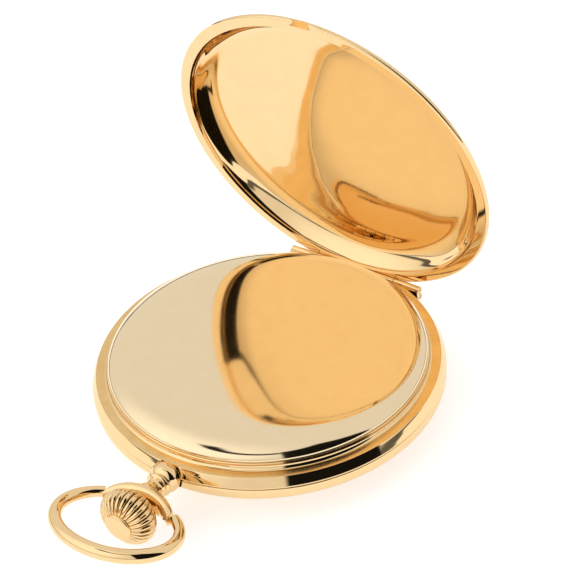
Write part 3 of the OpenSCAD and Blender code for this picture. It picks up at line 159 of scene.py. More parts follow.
def spline(points, step):
    """Points on a smooth curve through the given ones, about a step apart, or two on a straight line."""
    p = np.array(points, float)
    if len(p) == 2:
        count = max(1, int(np.linalg.norm(p[1] - p[0]) / (2 * step)))
        return [p[0] + (p[1] - p[0]) * i / count for i in range(count + 1)]
    ends = np.vstack([2 * p[0] - p[1], p, 2 * p[-1] - p[-2]])
    out = [p[0]]
    for i in range(1, len(ends) - 2):
        a, b, c, d = ends[i - 1 : i + 3]
        spans = [max(np.linalg.norm(v - u), TINY) ** 0.5 for u, v in ((a, b), (b, c), (c, d))]
        t = np.cumsum([0] + spans)
        count = max(2, int(np.linalg.norm(c - b) / step))
        for k in range(1, count + 1):
            s = t[1] + (t[2] - t[1]) * k / count
            ab = between(a, b, t[0], t[1], s)
            bc = between(b, c, t[1], t[2], s)
            cd = between(c, d, t[2], t[3], s)
            abc = between(ab, bc, t[0], t[2], s)
            bcd = between(bc, cd, t[1], t[3], s)
            out.append(between(abc, bcd, t[1], t[2], s))
    return out


def outline(runs, step=0.12, closed=True):
    """Smooth runs of points joined at corners, which are rounded off by a small fillet."""
    line = []
    corners = []
    for run in runs:
        points = spline(run, step)
        if line and np.linalg.norm(line[-1] - points[0]) < SAME:
            points = points[1:]
        line += points
        corners.append(len(line) - 1)
    if closed and np.linalg.norm(line[0] - line[-1]) < SAME:
        line.pop()
        corners[-1] = 0
    count = len(line)
    out = []
    for i, point in enumerate(line):
        inner = closed or 0 < i < count - 1
        if i not in corners or not inner or point[0] < TINY:
            out.append(point)
            continue
        back = line[i - 1] - point
        ahead = line[(i + 1) % count] - point
        back_len = np.linalg.norm(back)
        ahead_len = np.linalg.norm(ahead)
        bend = math.acos(max(-1.0, min(1.0, float(-(back @ ahead) / (back_len * ahead_len)))))
        if bend < LEAST_BEND:
            out.append(point)
            continue
        reach = min(FILLET, FILLET_SHARE * back_len, FILLET_SHARE * ahead_len)
        start = point + back / back_len * reach
        end = point + ahead / ahead_len * reach
        out += [round_off(start, point, end, k / FILLET_STEPS) for k in range(FILLET_STEPS + 1)]
    return np.array(out)


def place_object(name, data):
    """A new object in the scene."""
    obj = bpy.data.objects.new(name, data)
    bpy.context.collection.objects.link(obj)
    return obj


def mesh_object(name, verts, faces):
    """A mesh from millimetre coordinates, lifted to the ring's height."""
    data = bpy.data.meshes.new(name)
    points = (np.array(verts, float) + (0, 0, RING_Z)) * MM
    data.from_pydata(points.tolist(), [], faces)
    data.validate()
    obj = place_object(name, data)
    bm = bmesh.new()
    bm.from_mesh(data)
    bmesh.ops.recalc_face_normals(bm, faces=bm.faces)
    bm.to_mesh(data)
    bm.free()
    return obj


def revolve(name, profile, sides=288, axis="z", closed=True):
    """Turns a profile of (radius, height) about Z, or of (radius, distance) about the pendant's axis."""
    verts = []
    rings = []
    for r, height in profile:
        if r < TINY:
            rings.append([len(verts)])
            verts.append((0, 0, height))
        else:
            rings.append(list(range(len(verts), len(verts) + sides)))
            verts += [(r * math.cos(t), r * math.sin(t), height) for t in angles(sides)]
    faces = []
    following = rings[1:] + rings[:1] if closed else rings[1:]
    for a, b in zip(rings, following):
        if len(a) == 1 and len(b) == 1:
            continue
        for i in range(sides):
            j = (i + 1) % sides
            if len(a) == 1:
                faces.append((a[0], b[j], b[i]))
            elif len(b) == 1:
                faces.append((a[i], a[j], b[0]))
            else:
                faces.append((a[i], a[j], b[j], b[i]))
    if axis == "y":
        verts = [(x, -distance, AXIS_Z + y) for x, y, distance in verts]
    return mesh_object(name, verts, faces)


def loft(name, rings, closed=False):
    """A mesh through rings of points; open lofts get a face at each end."""
    sides = len(rings[0])
    count = len(rings)
    verts = [tuple(point) for ring in rings for point in ring]
    faces = []
    for i in range(count if closed else count - 1):
        k = (i + 1) % count
        for j in range(sides):
            m = (j + 1) % sides
            faces.append((i * sides + j, i * sides + m, k * sides + m, k * sides + j))
    if not closed:
        faces += [tuple(range(sides)), tuple(range((count - 1) * sides, count * sides))]
    return mesh_object(name, verts, faces)


def box(x0, x1, y0, y1, z0, z1):
    """A block between two bounds on each axis."""
    verts = [(x, y, z) for x in (x0, x1) for y in (y0, y1) for z in (z0, z1)]
    faces = [(0, 1, 3, 2), (4, 6, 7, 5), (0, 4, 5, 1), (2, 3, 7, 6), (0, 2, 6, 4), (1, 5, 7, 3)]
    return mesh_object("cutter", verts, faces)


def rod(axis, r, low, high, centre, sides=64):
    """A round rod along x or y; centre is its place across, as (y, z) or (x, z)."""
    verts = []
    for end in (low, high):
        for t in angles(sides):
            across = centre[0] + r * math.cos(t)
            up = centre[1] + r * math.sin(t)
            verts.append((end, across, up) if axis == "x" else (across, end, up))
    faces = [tuple(range(sides)), tuple(range(sides, 2 * sides))]
    faces += [(i, (i + 1) % sides, sides + (i + 1) % sides, sides + i) for i in range(sides)]
    return mesh_object("cutter", verts, faces)


def tube(x0, x1, r, bore, y, z, sides=48):
    """A short tube along x with rounded ends."""
    edge = 0.05
    end = [(bore, x0 + edge), (bore + edge, x0)]
    end += [(r - edge, x0), (r - edge * 0.3, x0 + edge * 0.3), (r, x0 + edge)]
    profile = end + [(q, x0 + x1 - x) for q, x in end[::-1]]
    rings = [[(x, y + q * math.cos(t), z + q * math.sin(t)) for t in angles(sides)] for q, x in profile]
    return loft("tube", rings, closed=True)


def knuckles(which, length, r, bore, axes, web):
    """Hinge knuckles as rounded tubes about the pin, each on the web that carries it."""
    last = KNUCKLE_COUNT - 1
    made = []
    for i in which:
        low = -length / 2 + i * length / KNUCKLE_COUNT + (0 if i == 0 else KNUCKLE_GAP / 2)
        high = -length / 2 + (i + 1) * length / KNUCKLE_COUNT - (0 if i == last else KNUCKLE_GAP / 2)
        made += [tube(low, high, r, bore, y, z) for y, z in axes]
        made.append(box(low + WEB_INSET, high - WEB_INSET, *web))
    return made


def cover_knuckles(which, heights, web):
    """Knuckles of the covers' hinges at the given heights."""
    return knuckles(which, HINGE_LEN, KNUCKLE_R, PIN_R, [(HINGE_Y, z) for z in heights], web)


def cuvette_knuckles(which, web):
    """Knuckles of the cuvette's small hinge."""
    axes = [(CUVETTE_HINGE_Y, CUVETTE_HINGE_Z)]
    return knuckles(which, CUVETTE_HINGE_LEN, CUVETTE_KNUCKLE_R, CUVETTE_PIN_R, axes, web)


def cover_hinge_room(z):
    """The space that the knuckles of a cover's hinge turn in."""
    half = HINGE_LEN / 2 + END_ROOM
    return rod("x", KNUCKLE_R + KNUCKLE_ROOM, -half, half, (HINGE_Y, z))


def cuvette_hinge_room():
    """The space that the cuvette's knuckles turn in."""
    centre = (CUVETTE_HINGE_Y, CUVETTE_HINGE_Z)
    return rod("x", CUVETTE_ROOM_R, -CUVETTE_ROOM_HALF, CUVETTE_ROOM_HALF, centre)


def behind(y, low, high):
    """All that lies behind a chord across the hinge's side, between two heights."""
    return box(-FAR, FAR, y, FAR, low, high)


def neck_notch(inner_y):
    """The notch in a cover's rim for the pendant's neck, from outside to the given place."""
    return rod("y", NECK_R, -FAR, inner_y, (0, AXIS_Z), CUTTER_SIDES)


def evaluated_mesh(obj):
    """An object's mesh with its modifiers applied, or the mesh of a text's letters."""
    bpy.context.view_layer.update()
    depsgraph = bpy.context.evaluated_depsgraph_get()
    return bpy.data.meshes.new_from_object(obj.evaluated_get(depsgraph))


def cut(obj, *cutters):
    """Takes the cutters' space out of a closed mesh."""
    for cutter in cutters:
        modifier = obj.modifiers.new("cut", "BOOLEAN")
        modifier.operation = "DIFFERENCE"
        modifier.solver = "EXACT"
        modifier.object = cutter
    data = evaluated_mesh(obj)
    obj.modifiers.clear()
    obj.data = data
    for cutter in cutters:
        bpy.data.objects.remove(cutter)


def join(obj, *others):
    """Joins finished meshes into the first one."""
    bm = bmesh.new()
    bm.from_mesh(obj.data)
    for other in others:
        bm.from_mesh(other.data)
        bpy.data.objects.remove(other)
    bm.to_mesh(obj.data)
    bm.free()


def turn(obj, angle, y, z):
    """Turns a mesh about an axis along x through (y, z)."""
    centre = Vector((0, y, z + RING_Z)) * MM
    rotation = Matrix.Rotation(math.radians(angle), 4, "X")
    obj.data.transform(Matrix.Translation(centre) @ rotation @ Matrix.Translation(-centre))


def finish_piece(obj, name, body, materials, nodes, sharp=32):
    """Smooth shading with sharp edges kept, a name, a body and materials."""
    obj.name = name
    obj.data.name = name
    obj.data.polygons.foreach_set("use_smooth", [True] * len(obj.data.polygons))
    obj.data.set_sharp_from_angle(angle=math.radians(sharp))
    normals = obj.modifiers.new("normals", "WEIGHTED_NORMAL")
    normals.keep_sharp = True
    obj.data.materials.clear()
    for material in materials:
        obj.data.materials.append(material)
    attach(obj, body)
    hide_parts(*nodes)


# Materials: the colour mix's sockets share their names with others, so they are taken by number.
MIX_A = 6
MIX_B = 7
MIX_RESULT = 2
SHADER = "Principled BSDF"
# At this scale the wave texture draws one stripe in a metre.
ONE_WAVE = math.pi / 10


def node(tree, kind, **values):
    """A new node, with the given sockets or settings."""
    made = tree.nodes.new(kind)
    for key, value in values.items():
        if key in made.inputs:
            made.inputs[key].default_value = value
        else:
            setattr(made, key, value)
    return made


def wire(tree, *pairs):
    """Links from outputs to inputs."""
    for source, target in pairs:
        tree.links.new(source, target)


def position_in(tree):
    """The socket with the place on the object."""
    return node(tree, "ShaderNodeNewGeometry").outputs["Position"]


def new_material(name, base, metallic, roughness, **more):
    """A material with its shader's own sockets set."""
    material = bpy.data.materials.new(name)
    material.use_nodes = True
    inputs = material.node_tree.nodes[SHADER].inputs
    inputs["Base Color"].default_value = (*base, 1)
    inputs["Metallic"].default_value = metallic
    inputs["Roughness"].default_value = roughness
    for key, value in more.items():
        inputs[key].default_value = value
    return material


def worn(name, base, shade, rough, metallic=1.0, **more):
    """A material whose colour and gloss cloud slowly between two values, as handling leaves them."""
    material = new_material(name, base, metallic, sum(rough) / 2, **more)
    tree = material.node_tree
    shader = tree.nodes[SHADER]
    cloud = node(tree, "ShaderNodeTexNoise", Scale=0.35 / MM, Detail=4.0, Roughness=0.6)
    share = node(tree, "ShaderNodeMapRange", **{"From Min": 0.35, "From Max": 0.75, "To Max": 0.5})
    colour = node(tree, "ShaderNodeMix", data_type="RGBA")
    colour.inputs[MIX_A].default_value = (*base, 1)
    colour.inputs[MIX_B].default_value = (*shade, 1)
    gloss = node(tree, "ShaderNodeMapRange", **{"To Min": rough[0], "To Max": rough[1]})
    wire(tree,
         (position_in(tree), cloud.inputs["Vector"]),
         (cloud.outputs["Fac"], share.inputs["Value"]),
         (share.outputs["Result"], colour.inputs["Factor"]),
         (colour.outputs[MIX_RESULT], shader.inputs["Base Color"]),
         (cloud.outputs["Fac"], gloss.inputs["Value"]),
         (gloss.outputs["Result"], shader.inputs["Roughness"]))
    return material


def add_hairlines(material):
    """Hairlines: a stretched noise as a faint bump."""
    tree = material.node_tree
    stretch = node(tree, "ShaderNodeMapping", Scale=(1 / MM, 12 / MM, 1 / MM))
    lines = node(tree, "ShaderNodeTexNoise", Scale=2.2, Detail=3.0)
    bump = node(tree, "ShaderNodeBump", Strength=0.3, Distance=0.01 * MM)
    wire(tree,
         (position_in(tree), stretch.inputs["Vector"]),
         (stretch.outputs["Vector"], lines.inputs["Vector"]),
         (lines.outputs["Fac"], bump.inputs["Height"]),
         (bump.outputs["Normal"], tree.nodes[SHADER].inputs["Normal"]))


def add_stripes(material, width, angle, depth):
    """Broad ground stripes across a plate, each a shallow hollow, with brushing along them."""
    tree = material.node_tree
    lay = node(tree, "ShaderNodeMapping", Rotation=(0, 0, math.radians(angle)))
    wave = node(tree, "ShaderNodeTexWave", Scale=ONE_WAVE / (width * MM))
    stretch = node(tree, "ShaderNodeMapping", Scale=(30 / MM, 1.5 / MM, 30 / MM))
    lines = node(tree, "ShaderNodeTexNoise", Scale=1.0, Detail=2.0)
    fine = node(tree, "ShaderNodeBump", Strength=0.25, Distance=0.004 * MM)
    broad = node(tree, "ShaderNodeBump", Strength=1.0, Distance=depth * MM)
    wire(tree,
         (position_in(tree), lay.inputs["Vector"]),
         (lay.outputs["Vector"], wave.inputs["Vector"]),
         (lay.outputs["Vector"], stretch.inputs["Vector"]),
         (stretch.outputs["Vector"], lines.inputs["Vector"]),
         (lines.outputs["Fac"], fine.inputs["Height"]),
         (wave.outputs["Fac"], broad.inputs["Height"]),
         (fine.outputs["Normal"], broad.inputs["Normal"]),
         (broad.outputs["Normal"], tree.nodes[SHADER].inputs["Normal"]))


# Each metal has a colour, the colour where it is worn, and the least and most roughness.
METALS = {
    "polished_gold": ((0.86, 0.62, 0.33), (0.82, 0.57, 0.28), (0.03, 0.07)),
    "cuvette_gold": ((0.84, 0.67, 0.43), (0.81, 0.63, 0.39), (0.05, 0.09)),
    "satin_gold": ((0.8, 0.54, 0.24), (0.66, 0.4, 0.14), (0.13, 0.2)),
    # The dark gold below is painted shade, laid in the crown's rib grooves.
    "groove_painted_shade_gold": ((0.2, 0.11, 0.04), (0.08, 0.045, 0.02), (0.25, 0.45)),
    "pin_gold": ((0.66, 0.43, 0.17), (0.5, 0.3, 0.1), (0.2, 0.35)),
    "steel": ((0.6, 0.6, 0.62), (0.5, 0.5, 0.53), (0.16, 0.3)),
    "spring_steel": ((0.3, 0.32, 0.35), (0.2, 0.21, 0.25), (0.2, 0.36)),
    "blued_steel": ((0.02, 0.05, 0.32), (0.05, 0.03, 0.22), (0.12, 0.2)),
    "nickel": ((0.68, 0.66, 0.62), (0.6, 0.58, 0.54), (0.2, 0.34)),
    "striped_nickel": ((0.74, 0.72, 0.68), (0.66, 0.64, 0.6), (0.2, 0.3)),
    "wheel_brass": ((0.75, 0.52, 0.22), (0.66, 0.43, 0.16), (0.18, 0.3)),
}
metals = {name: worn(name, *values) for name, values in METALS.items()}
add_hairlines(metals["satin_gold"])
add_stripes(metals["striped_nickel"], width=1.7, angle=30, depth=0.05)
gold = metals["polished_gold"]
ruby = new_material("ruby", (0.45, 0.01, 0.04), 0.0, 0.08, **{"Coat Weight": 0.6})
glass = new_material("glass", (1, 1, 1), 0.0, 0.0, **{"Transmission Weight": 1.0, "IOR": 1.5})
enamel = worn("enamel", (0.86, 0.84, 0.8), (0.82, 0.79, 0.73), (0.1, 0.16), 0.0, **{"Coat Weight": 0.4})
ink = new_material("dial_print", (0.01, 0.01, 0.012), 0.0, 0.35)

# Every solid gets the material of its slot, and three of the bridges get stripes.
SLOTS = {**metals, "gold": gold, "ruby": ruby, "glass": glass, "enamel": enamel}
STRIPED = ("barrel_bridge", "train_bridge", "balance_cock")
slot_names = {part["node"]: part["material_slot"] for part in frame["record"]["subparts"]}
for name, obj in frame["nodes"].items():
    chosen = metals["striped_nickel"] if name in STRIPED else SLOTS[slot_names[name]]
    for place in obj.material_slots:
        place.material = chosen

# Case middle
case = revolve("case_middle_visual", outline([
    [(21.5, -2.7), (23.9, -2.7)],
    [(23.9, -2.7), (23.9, BAND_Z)],
    [(23.9, BAND_Z), (25.5, BAND_Z)],
    [(25.5, BAND_Z), (25.9, -1.66)],
    [(25.9, -1.66), (25.99, -1.52), (25.97, -1.38)],
    [(25.97, -1.38), (25.7, -0.82), (25.4, -0.22)],
    [(25.4, -0.22), (25.28, 0)],
    [(25.28, 0), (23.92, 0)],
    [(23.92, 0), (23.72, 0.12), (23.56, 0.4), (23.49, 0.72)],
    [(23.49, 0.72), (23.53, 0.86), (23.43, COLLAR_H)],
    [(23.43, COLLAR_H), (22.95, COLLAR_H)],
    [(22.95, COLLAR_H), (22.95, 0.15)],
    [(22.95, 0.15), (22.2, 0.15)],
    [(22.2, 0.15), (22.2, -1.3)],
    [(22.2, -1.3), (21.5, -1.3)],
    [(21.5, -1.3), (21.5, -2.7)],
]))
cut(case,
    behind(CASE_CHORD_Y, -4, 4),
    cover_hinge_room(BACK_HINGE_Z),
    cover_hinge_room(FRONT_HINGE_Z),
    cuvette_hinge_room(),
    rod("y", SOCKET_R, -27.5, -25.15, (0, AXIS_Z)))
case_web = (HINGE_Y - 0.9, HINGE_Y - 0.3, FRONT_HINGE_Z + 0.2, BACK_HINGE_Z + 0.2)
collar_web = (CUVETTE_HINGE_Y - 0.12, CUVETTE_HINGE_Y + 0.12, 0.05, CUVETTE_HINGE_Z - 0.2)
join(case,
     *cover_knuckles([0, 2, 4], [BACK_HINGE_Z, FRONT_HINGE_Z], case_web),
     *cuvette_knuckles([0, 2, 4], collar_web))
finish_piece(case, "case_middle_visual", "case", [gold, metals["satin_gold"]], ["case_middle"])
for face in case.data.polygons:
    x, y, z = face.center / MM
    if abs(z - RING_Z) < 0.004 and RING_IN_R < math.hypot(x, y) < RING_OUT_R:
        face.material_index = 1


# Covers
def domed(height, wall, *points):
    """Points of a cover's line, each a radius and a share of the cover's height, less the wall."""
    return [(r, share * height - wall) for r, share in points]


lid = revolve("back_lid_visual", np.array([0, LID_GAP]) + outline([
    [(25.5, 0), (25.75, 0.1), (25.86, 0.3), (25.86, 0.5), (25.75, 0.75), (25.4, 1.12),
     *domed(LID_H, 0, (24.8, 0.359), (24, 0.484), (23, 0.622), (21.8, 0.742), (20, 0.85), (17, 0.932),
            (13, 0.98), (8, 1), (0, 1))],
    [(0, LID_H), (0, LID_H - COVER_WALL)],
    [*domed(LID_H, COVER_WALL, (0, 1), (8, 1), (13, 0.98), (16.9, 0.932), (19.6, 0.86)),
     (20.8, 3.18), (21.5, 2.95), (22.2, 2.6), (22.85, 2.08), (23.4, 1.5), (23.93, 0.87), (24.1, 0.35),
     (24.13, 0)],
    [(24.13, 0), (25.5, 0)],
]))
cut(lid, behind(LID_CHORD_Y, -2, 4), cover_hinge_room(BACK_HINGE_Z), neck_notch(-25.0))
lid_web = (HINGE_Y - 0.1, LID_CHORD_Y - 0.05, BACK_HINGE_Z + 0.3, LID_GAP + 0.55)
join(lid, *cover_knuckles([1, 3], [BACK_HINGE_Z], lid_web))
turn(lid, -LID_ANGLE, HINGE_Y, BACK_HINGE_Z)
finish_piece(lid, "back_lid_visual", "back_lid", [gold], ["back_lid"])

# The front cover's line is drawn upwards and then turned over.
front_line = outline([
    [(25.5, 0), (25.86, 0.03)],
    [(25.86, 0.03), (25.95, 0.3), (25.98, 0.6), (25.99, 0.95), (25.9, 1.4), (25.5, 1.95),
     *domed(FRONT_H, 0, (24.9, 0.39), (24, 0.5), (22.6, 0.63), (20.6, 0.755), (18, 0.865), (15, 0.95),
            (12, 1))],
    [(12, FRONT_H), (0, FRONT_H)],
    [(0, FRONT_H), (0, FRONT_H - COVER_WALL)],
    [*domed(FRONT_H, COVER_WALL, (0, 1), (11.8, 1), (14.7, 0.95), (17.6, 0.865), (20.1, 0.755), (22.05, 0.63),
            (23.4, 0.5), (24.3, 0.39)),
     (25, 1.55), (25.35, 1.2), (25.4, 0.95)],
    [(25.4, 0.95), (24.7, 0.6), (24.6, 0)],
    [(24.6, 0), (25.5, 0)],
])
front = revolve("front_lid_visual", front_line * (1, -1) + np.array([0, LID_FOOT_Z]))
cut(front,
    behind(LID_CHORD_Y, -5, 0),
    cover_hinge_room(FRONT_HINGE_Z),
    box(-HINGE_LEN / 2 - 0.1, HINGE_LEN / 2 + 0.1, 22, HINGE_Y - 0.1, LID_FOOT_Z - 0.25, 0),
    neck_notch(-20))
front_web = (HINGE_Y, LID_CHORD_Y - 0.02, LID_FOOT_Z - 0.6, FRONT_HINGE_Z - 0.3)
join(front, *cover_knuckles([1, 3], [FRONT_HINGE_Z], front_web))
finish_piece(front, "front_lid_visual", "front_lid", [gold], ["front_lid"])


# Cuvette
def dome_height(r):
    """The dome's height at a radius: flat in the middle, and ever steeper towards the edge."""
    return DOME_TOP - DOME_DROP * (r / DOME_REACH) ** DOME_BEND


def dome(wall):
    """The dome's line from its foot to its middle, drawn in by the wall."""
    foot = np.array(DOME_FOOT)
    edge_z = dome_height(DOME_EDGE)
    slope = DOME_DROP * DOME_BEND / DOME_REACH * (DOME_EDGE / DOME_REACH) ** (DOME_BEND - 1)
    edge = np.array([DOME_EDGE, edge_z])
    corner = np.array([foot[0], edge_z - slope * (foot[0] - DOME_EDGE)])
    line = [round_off(foot, corner, edge, t) for t in np.linspace(0, 1, 12)]
    line += [np.array([r, dome_height(r)]) for r in np.linspace(DOME_EDGE, 0, 60)[1:]]
    across = 1 - wall / foot[0]
    upwards = 1 - wall / (DOME_TOP - foot[1])
    return [(r * across, foot[1] + (z - foot[1]) * upwards) for r, z in line]


outer = dome(0)
inner = dome(COVER_WALL)
cuvette = revolve("cuvette_visual", outline([
    [(CUVETTE_R, 1.04), (CUVETTE_R + 0.03, 1.25)],
    outer,
    [outer[-1], inner[-1]],
    inner[::-1],
    [inner[0], (22.54, 0.45)],
    [(22.54, 0.45), (22.89, 0.45)],
    [(22.89, 0.45), (22.89, 1.04)],
    [(22.89, 1.04), (CUVETTE_R, 1.04)],
]))
cut(cuvette, cuvette_hinge_room(), box(-5.5, 5.5, 20, 26, 0, 1.09))
cuvette_web = (CUVETTE_HINGE_Y - 0.2, CUVETTE_HINGE_Y + 0.08, CUVETTE_HINGE_Z + 0.2, 1.35)
join(cuvette, *cuvette_knuckles([1, 3], cuvette_web))
finish_piece(cuvette, "cuvette_visual", "cuvette", [metals["cuvette_gold"]], ["cuvette"])


# Pendant
def head_ring(s):
    """A ring of the boat-shaped head, where s runs from -1 at one tip to 1 at the other."""
    middle = max(math.cos(math.radians(90 * s)), 0.0)
    x = TIP_X * math.sin(math.radians(90 * s))
    y = -PIVOT_Y + HEAD_SWEEP * middle**1.5
    half_deep = HEAD_TIP_HALF + HEAD_DEEPER * middle**2
    half_high = HEAD_TIP_HALF + HEAD_HIGHER * middle**1.3
    lean = math.radians(s * HEAD_LEAN * (1 - abs(s) ** 3))
    ring = []
    for a in -angles(HEAD_SIDES):
        u = half_deep * math.cos(a)
        ring.append((x + u * math.sin(lean), y + u * math.cos(lean), AXIS_Z + half_high * math.sin(a)))
    return ring


# The neck's line in runs of points, each a share of the bead's radius and a distance from the middle.
NECK_RUNS = (
    ((0, 25.15), (0.78, 25.15)),
    ((0.78, 25.15), (0.95, 25.7), (1, 26.4), (0.96, 27), (0.8, 27.5), (0.72, 27.65)),
    ((0.72, 27.65), (0.8, 27.8), (0.86, 28.1), (0.78, 28.42), (0.66, 28.6)),
    ((0.66, 28.6), (0.62, 29), (0.66, 29.5), (0.8, 30.1), (0.84, 30.6), (0.8, 31.2)),
    ((0.8, 31.2), (0, 31.2)),
)
neck_line = outline([[(share * BEAD_R, y) for share, y in run] for run in NECK_RUNS], step=0.08, closed=False)
neck = revolve("neck", neck_line, AXIS_SIDES, "y", closed=False)
head = loft("head", [head_ring(s) for s in np.linspace(-1, 1, HEAD_RINGS)])
crown_room = outline([
    [(0, 32.45), (3.2, 32.45)],
    [(3.2, 32.45), (3.35, 33.0)],
    [(3.35, 33.0), (3.95, 33.7), (4.35, 34.4), (4.55, 35.3), (4.55, 36.5)],
    [(4.55, 36.5), (0, 36.5)],
], closed=False)
cut(head,
    revolve("crown_room", crown_room, CUTTER_SIDES, "y", closed=False),
    rod("y", STEM_ROOM_R, -CROWN_Y - 1, -CROWN_Y + 0.9, (0, AXIS_Z)))
join(head, neck)
finish_piece(head, "pendant_visual", "case", [gold], ["pendant"])


# Crown
def crown_ring(u):
    """A ring of the ribbed crown, where u runs from 0 at its foot to 1 at its cap."""
    bulge = math.sin(math.radians(CROWN_FOOT_ANGLE + CROWN_SWEEP * u)) ** 0.75
    body = CROWN_R * (0.06 + 0.94 * bulge)
    body -= CROWN_DRAW_IN * max(0.0, (u - CROWN_DRAW_FROM) / CROWN_DRAW_SPAN) ** 2
    fade = math.sin(math.radians(180 * (0.12 + 0.6 * u))) ** 0.6
    y = -CROWN_Y - CROWN_LEN * (0.02 + 0.9 * u)
    ring = []
    for j, a in enumerate(-angles(CROWN_RIBS * RIB_STEPS)):
        along_rib = (j % RIB_STEPS) / RIB_STEPS
        r = body - RIB_DEPTH * fade * (1 - math.sin(math.pi * along_rib) ** 0.55)
        ring.append((r * math.cos(a), y, AXIS_Z + r * math.sin(a)))
    return ring


crown = loft("crown", [crown_ring(u) for u in np.linspace(0, 1, CROWN_ROWS + 1)])
cap = revolve("cap", outline([
    [(0, 37.3), (2.1, 37.3)],
    [(2.1, 37.3), (2.13, 37.6), (2.1, 37.85), (1.95, 37.97), (1.7, 38.0)],
    [(1.7, 38.0), (0, 38.0)],
], step=0.06, closed=False), AXIS_SIDES, "y", closed=False)
boss = revolve("boss", outline([
    [(0, 33.0), (2.2, 33.0)],
    [(2.2, 33.0), (2.2, 33.3)],
    [(2.2, 33.3), (0, 33.3)],
], closed=False), AXIS_SIDES, "y", closed=False)
join(crown, cap, boss)
finish_piece(crown, "crown_visual", "crown", [gold, metals["groove_painted_shade_gold"]], ["crown"], sharp=50)
# The crown's sides come first among its faces, row by row, and each rib starts and ends in a groove; these
# groove faces get a dark gold as painted shade.
for face in crown.data.polygons[:CROWN_ROWS * CROWN_RIBS * RIB_STEPS]:
    if face.index % RIB_STEPS in (0, RIB_STEPS - 1):
        face.material_index = 1


# Bow
def bow_path(q):
    """The middle of the bow's wire, where q runs from 0 at one end to 1 at the other."""
    start = math.asin((-BOW_REACH - 0.6) / BOW_HALF_L)
    a = start + (math.pi - 2 * start) * q
    return np.array([BOW_HALF_W * math.cos(a), BOW_REACH + BOW_HALF_L * math.sin(a)])


def bow_ring(q):
    """A ring round the bow's wire, which is thickest in its middle."""
    point = bow_path(q)
    along = bow_path(q + 0.001) - bow_path(q - 0.001)
    outwards = np.array([along[1], -along[0]]) / np.linalg.norm(along)
    r = BOW_END_R + (BOW_MIDDLE_R - BOW_END_R) * max(math.sin(math.pi * q), 0.0) ** 0.8
    ring = []
    for a in -angles(BOW_SIDES):
        x = point[0] + outwards[0] * r * math.cos(a)
        y = -point[1] - outwards[1] * r * math.cos(a)
        ring.append((x, y - PIVOT_Y, r * math.sin(a) + AXIS_Z))
    return ring


bow = loft("bow", [bow_ring(q) for q in np.linspace(0, 1, BOW_RINGS)])
cut(bow, box(-TIP_X - 0.06, TIP_X + 0.06, -PIVOT_Y - 3, -PIVOT_Y + 3, AXIS_Z - 3, AXIS_Z + 3))
turn(bow, BOW_ANGLE, -PIVOT_Y, AXIS_Z)
finish_piece(bow, "bow_visual", "bow", [gold], ["bow"])


# Prints on the dial
def ink_on_dial(obj):
    """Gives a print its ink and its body."""
    obj.data.materials.clear()
    obj.data.materials.append(ink)
    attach(obj, "case")


def flat_print(name, outlines, z):
    """Thin flat marks on the dial's face, each a list of (x, y) corners."""
    verts = []
    faces = []
    for corners in outlines:
        count = len(corners)
        first = len(verts)
        verts += [(x, y, z) for x, y in corners] + [(x, y, z - PRINT_THICK) for x, y in corners]
        faces += [tuple(range(first, first + count)), tuple(range(first + count, first + 2 * count))]
        for i in range(count):
            j = (i + 1) % count
            faces.append((first + i, first + j, first + count + j, first + count + i))
    ink_on_dial(mesh_object(name, verts, faces))


def arc_bars(inner_r, outer_r, count, half_width, centre=(0, 0)):
    """Short bars that point to the centre, evenly round it."""
    centre = np.array(centre, float)
    bars = []
    for i in range(count):
        a = math.radians(180 + 360 * i / count)
        outwards = np.array([math.cos(a), math.sin(a)])
        across = np.array([-math.sin(a), math.cos(a)]) * half_width
        near = centre + outwards * inner_r
        far = centre + outwards * outer_r
        bars.append([near - across, far - across, far + across, near + across])
    return bars


def circle_bars(r, half_width, centre=(0, 0), parts=180):
    """A thin circle in short straight parts."""
    bars = []
    for i in range(parts):
        start = 2 * math.pi * i / parts
        end = 2 * math.pi * (i + 1) / parts
        inner_r = r - half_width
        outer_r = r + half_width
        corners = ((inner_r, start), (outer_r, start), (outer_r, end), (inner_r, end))
        bars.append([(centre[0] + q * math.cos(t), centre[1] + q * math.sin(t)) for q, t in corners])
    return bars


def dial_numbers(name, count, left_out, radius, size):
    """Upright numbers round the dial, read from below with the highest at -X."""
    made = []
    for number in range(1, count + 1):
        if number == left_out:
            continue
        curve = bpy.data.curves.new(name, "FONT")
        curve.body = str(number)
        curve.size = size * MM
        curve.align_x = "CENTER"
        curve.align_y = "CENTER"
        curve.extrude = 0.006 * MM
        text = place_object(name, curve)
        a = math.radians(180 + 360 * number / count)
        text.matrix_world = Matrix((
            (0, -1, 0, radius * math.cos(a) * MM),
            (-1, 0, 0, radius * math.sin(a) * MM),
            (0, 0, -1, (NUMBERS_Z + RING_Z) * MM),
            (0, 0, 0, 1),
        ))
        letters = evaluated_mesh(text)
        letters.transform(text.matrix_world)
        bpy.data.objects.remove(text)
        made.append(place_object(name, letters))
    join(made[0], *made[1:])
    made[0].name = name
    ink_on_dial(made[0])


flat_print("minute_track", [
    *circle_bars(19.9, 0.04),
    *circle_bars(19.1, 0.04),
    *arc_bars(19.1, 19.9, 60, 0.04),
    *arc_bars(19.0, 20.0, 12, 0.12),
], DIAL_PRINT_Z)
flat_print("seconds_track", [
    *circle_bars(4.2, 0.03, SECONDS_CENTRE, 90),
    *circle_bars(3.7, 0.03, SECONDS_CENTRE, 90),
    *arc_bars(3.7, 4.2, 60, 0.025, SECONDS_CENTRE),
    *arc_bars(3.5, 4.2, 12, 0.06, SECONDS_CENTRE),
], SECONDS_PRINT_Z)
dial_numbers("hour_numbers", count=12, left_out=6, radius=16.2, size=4.2)

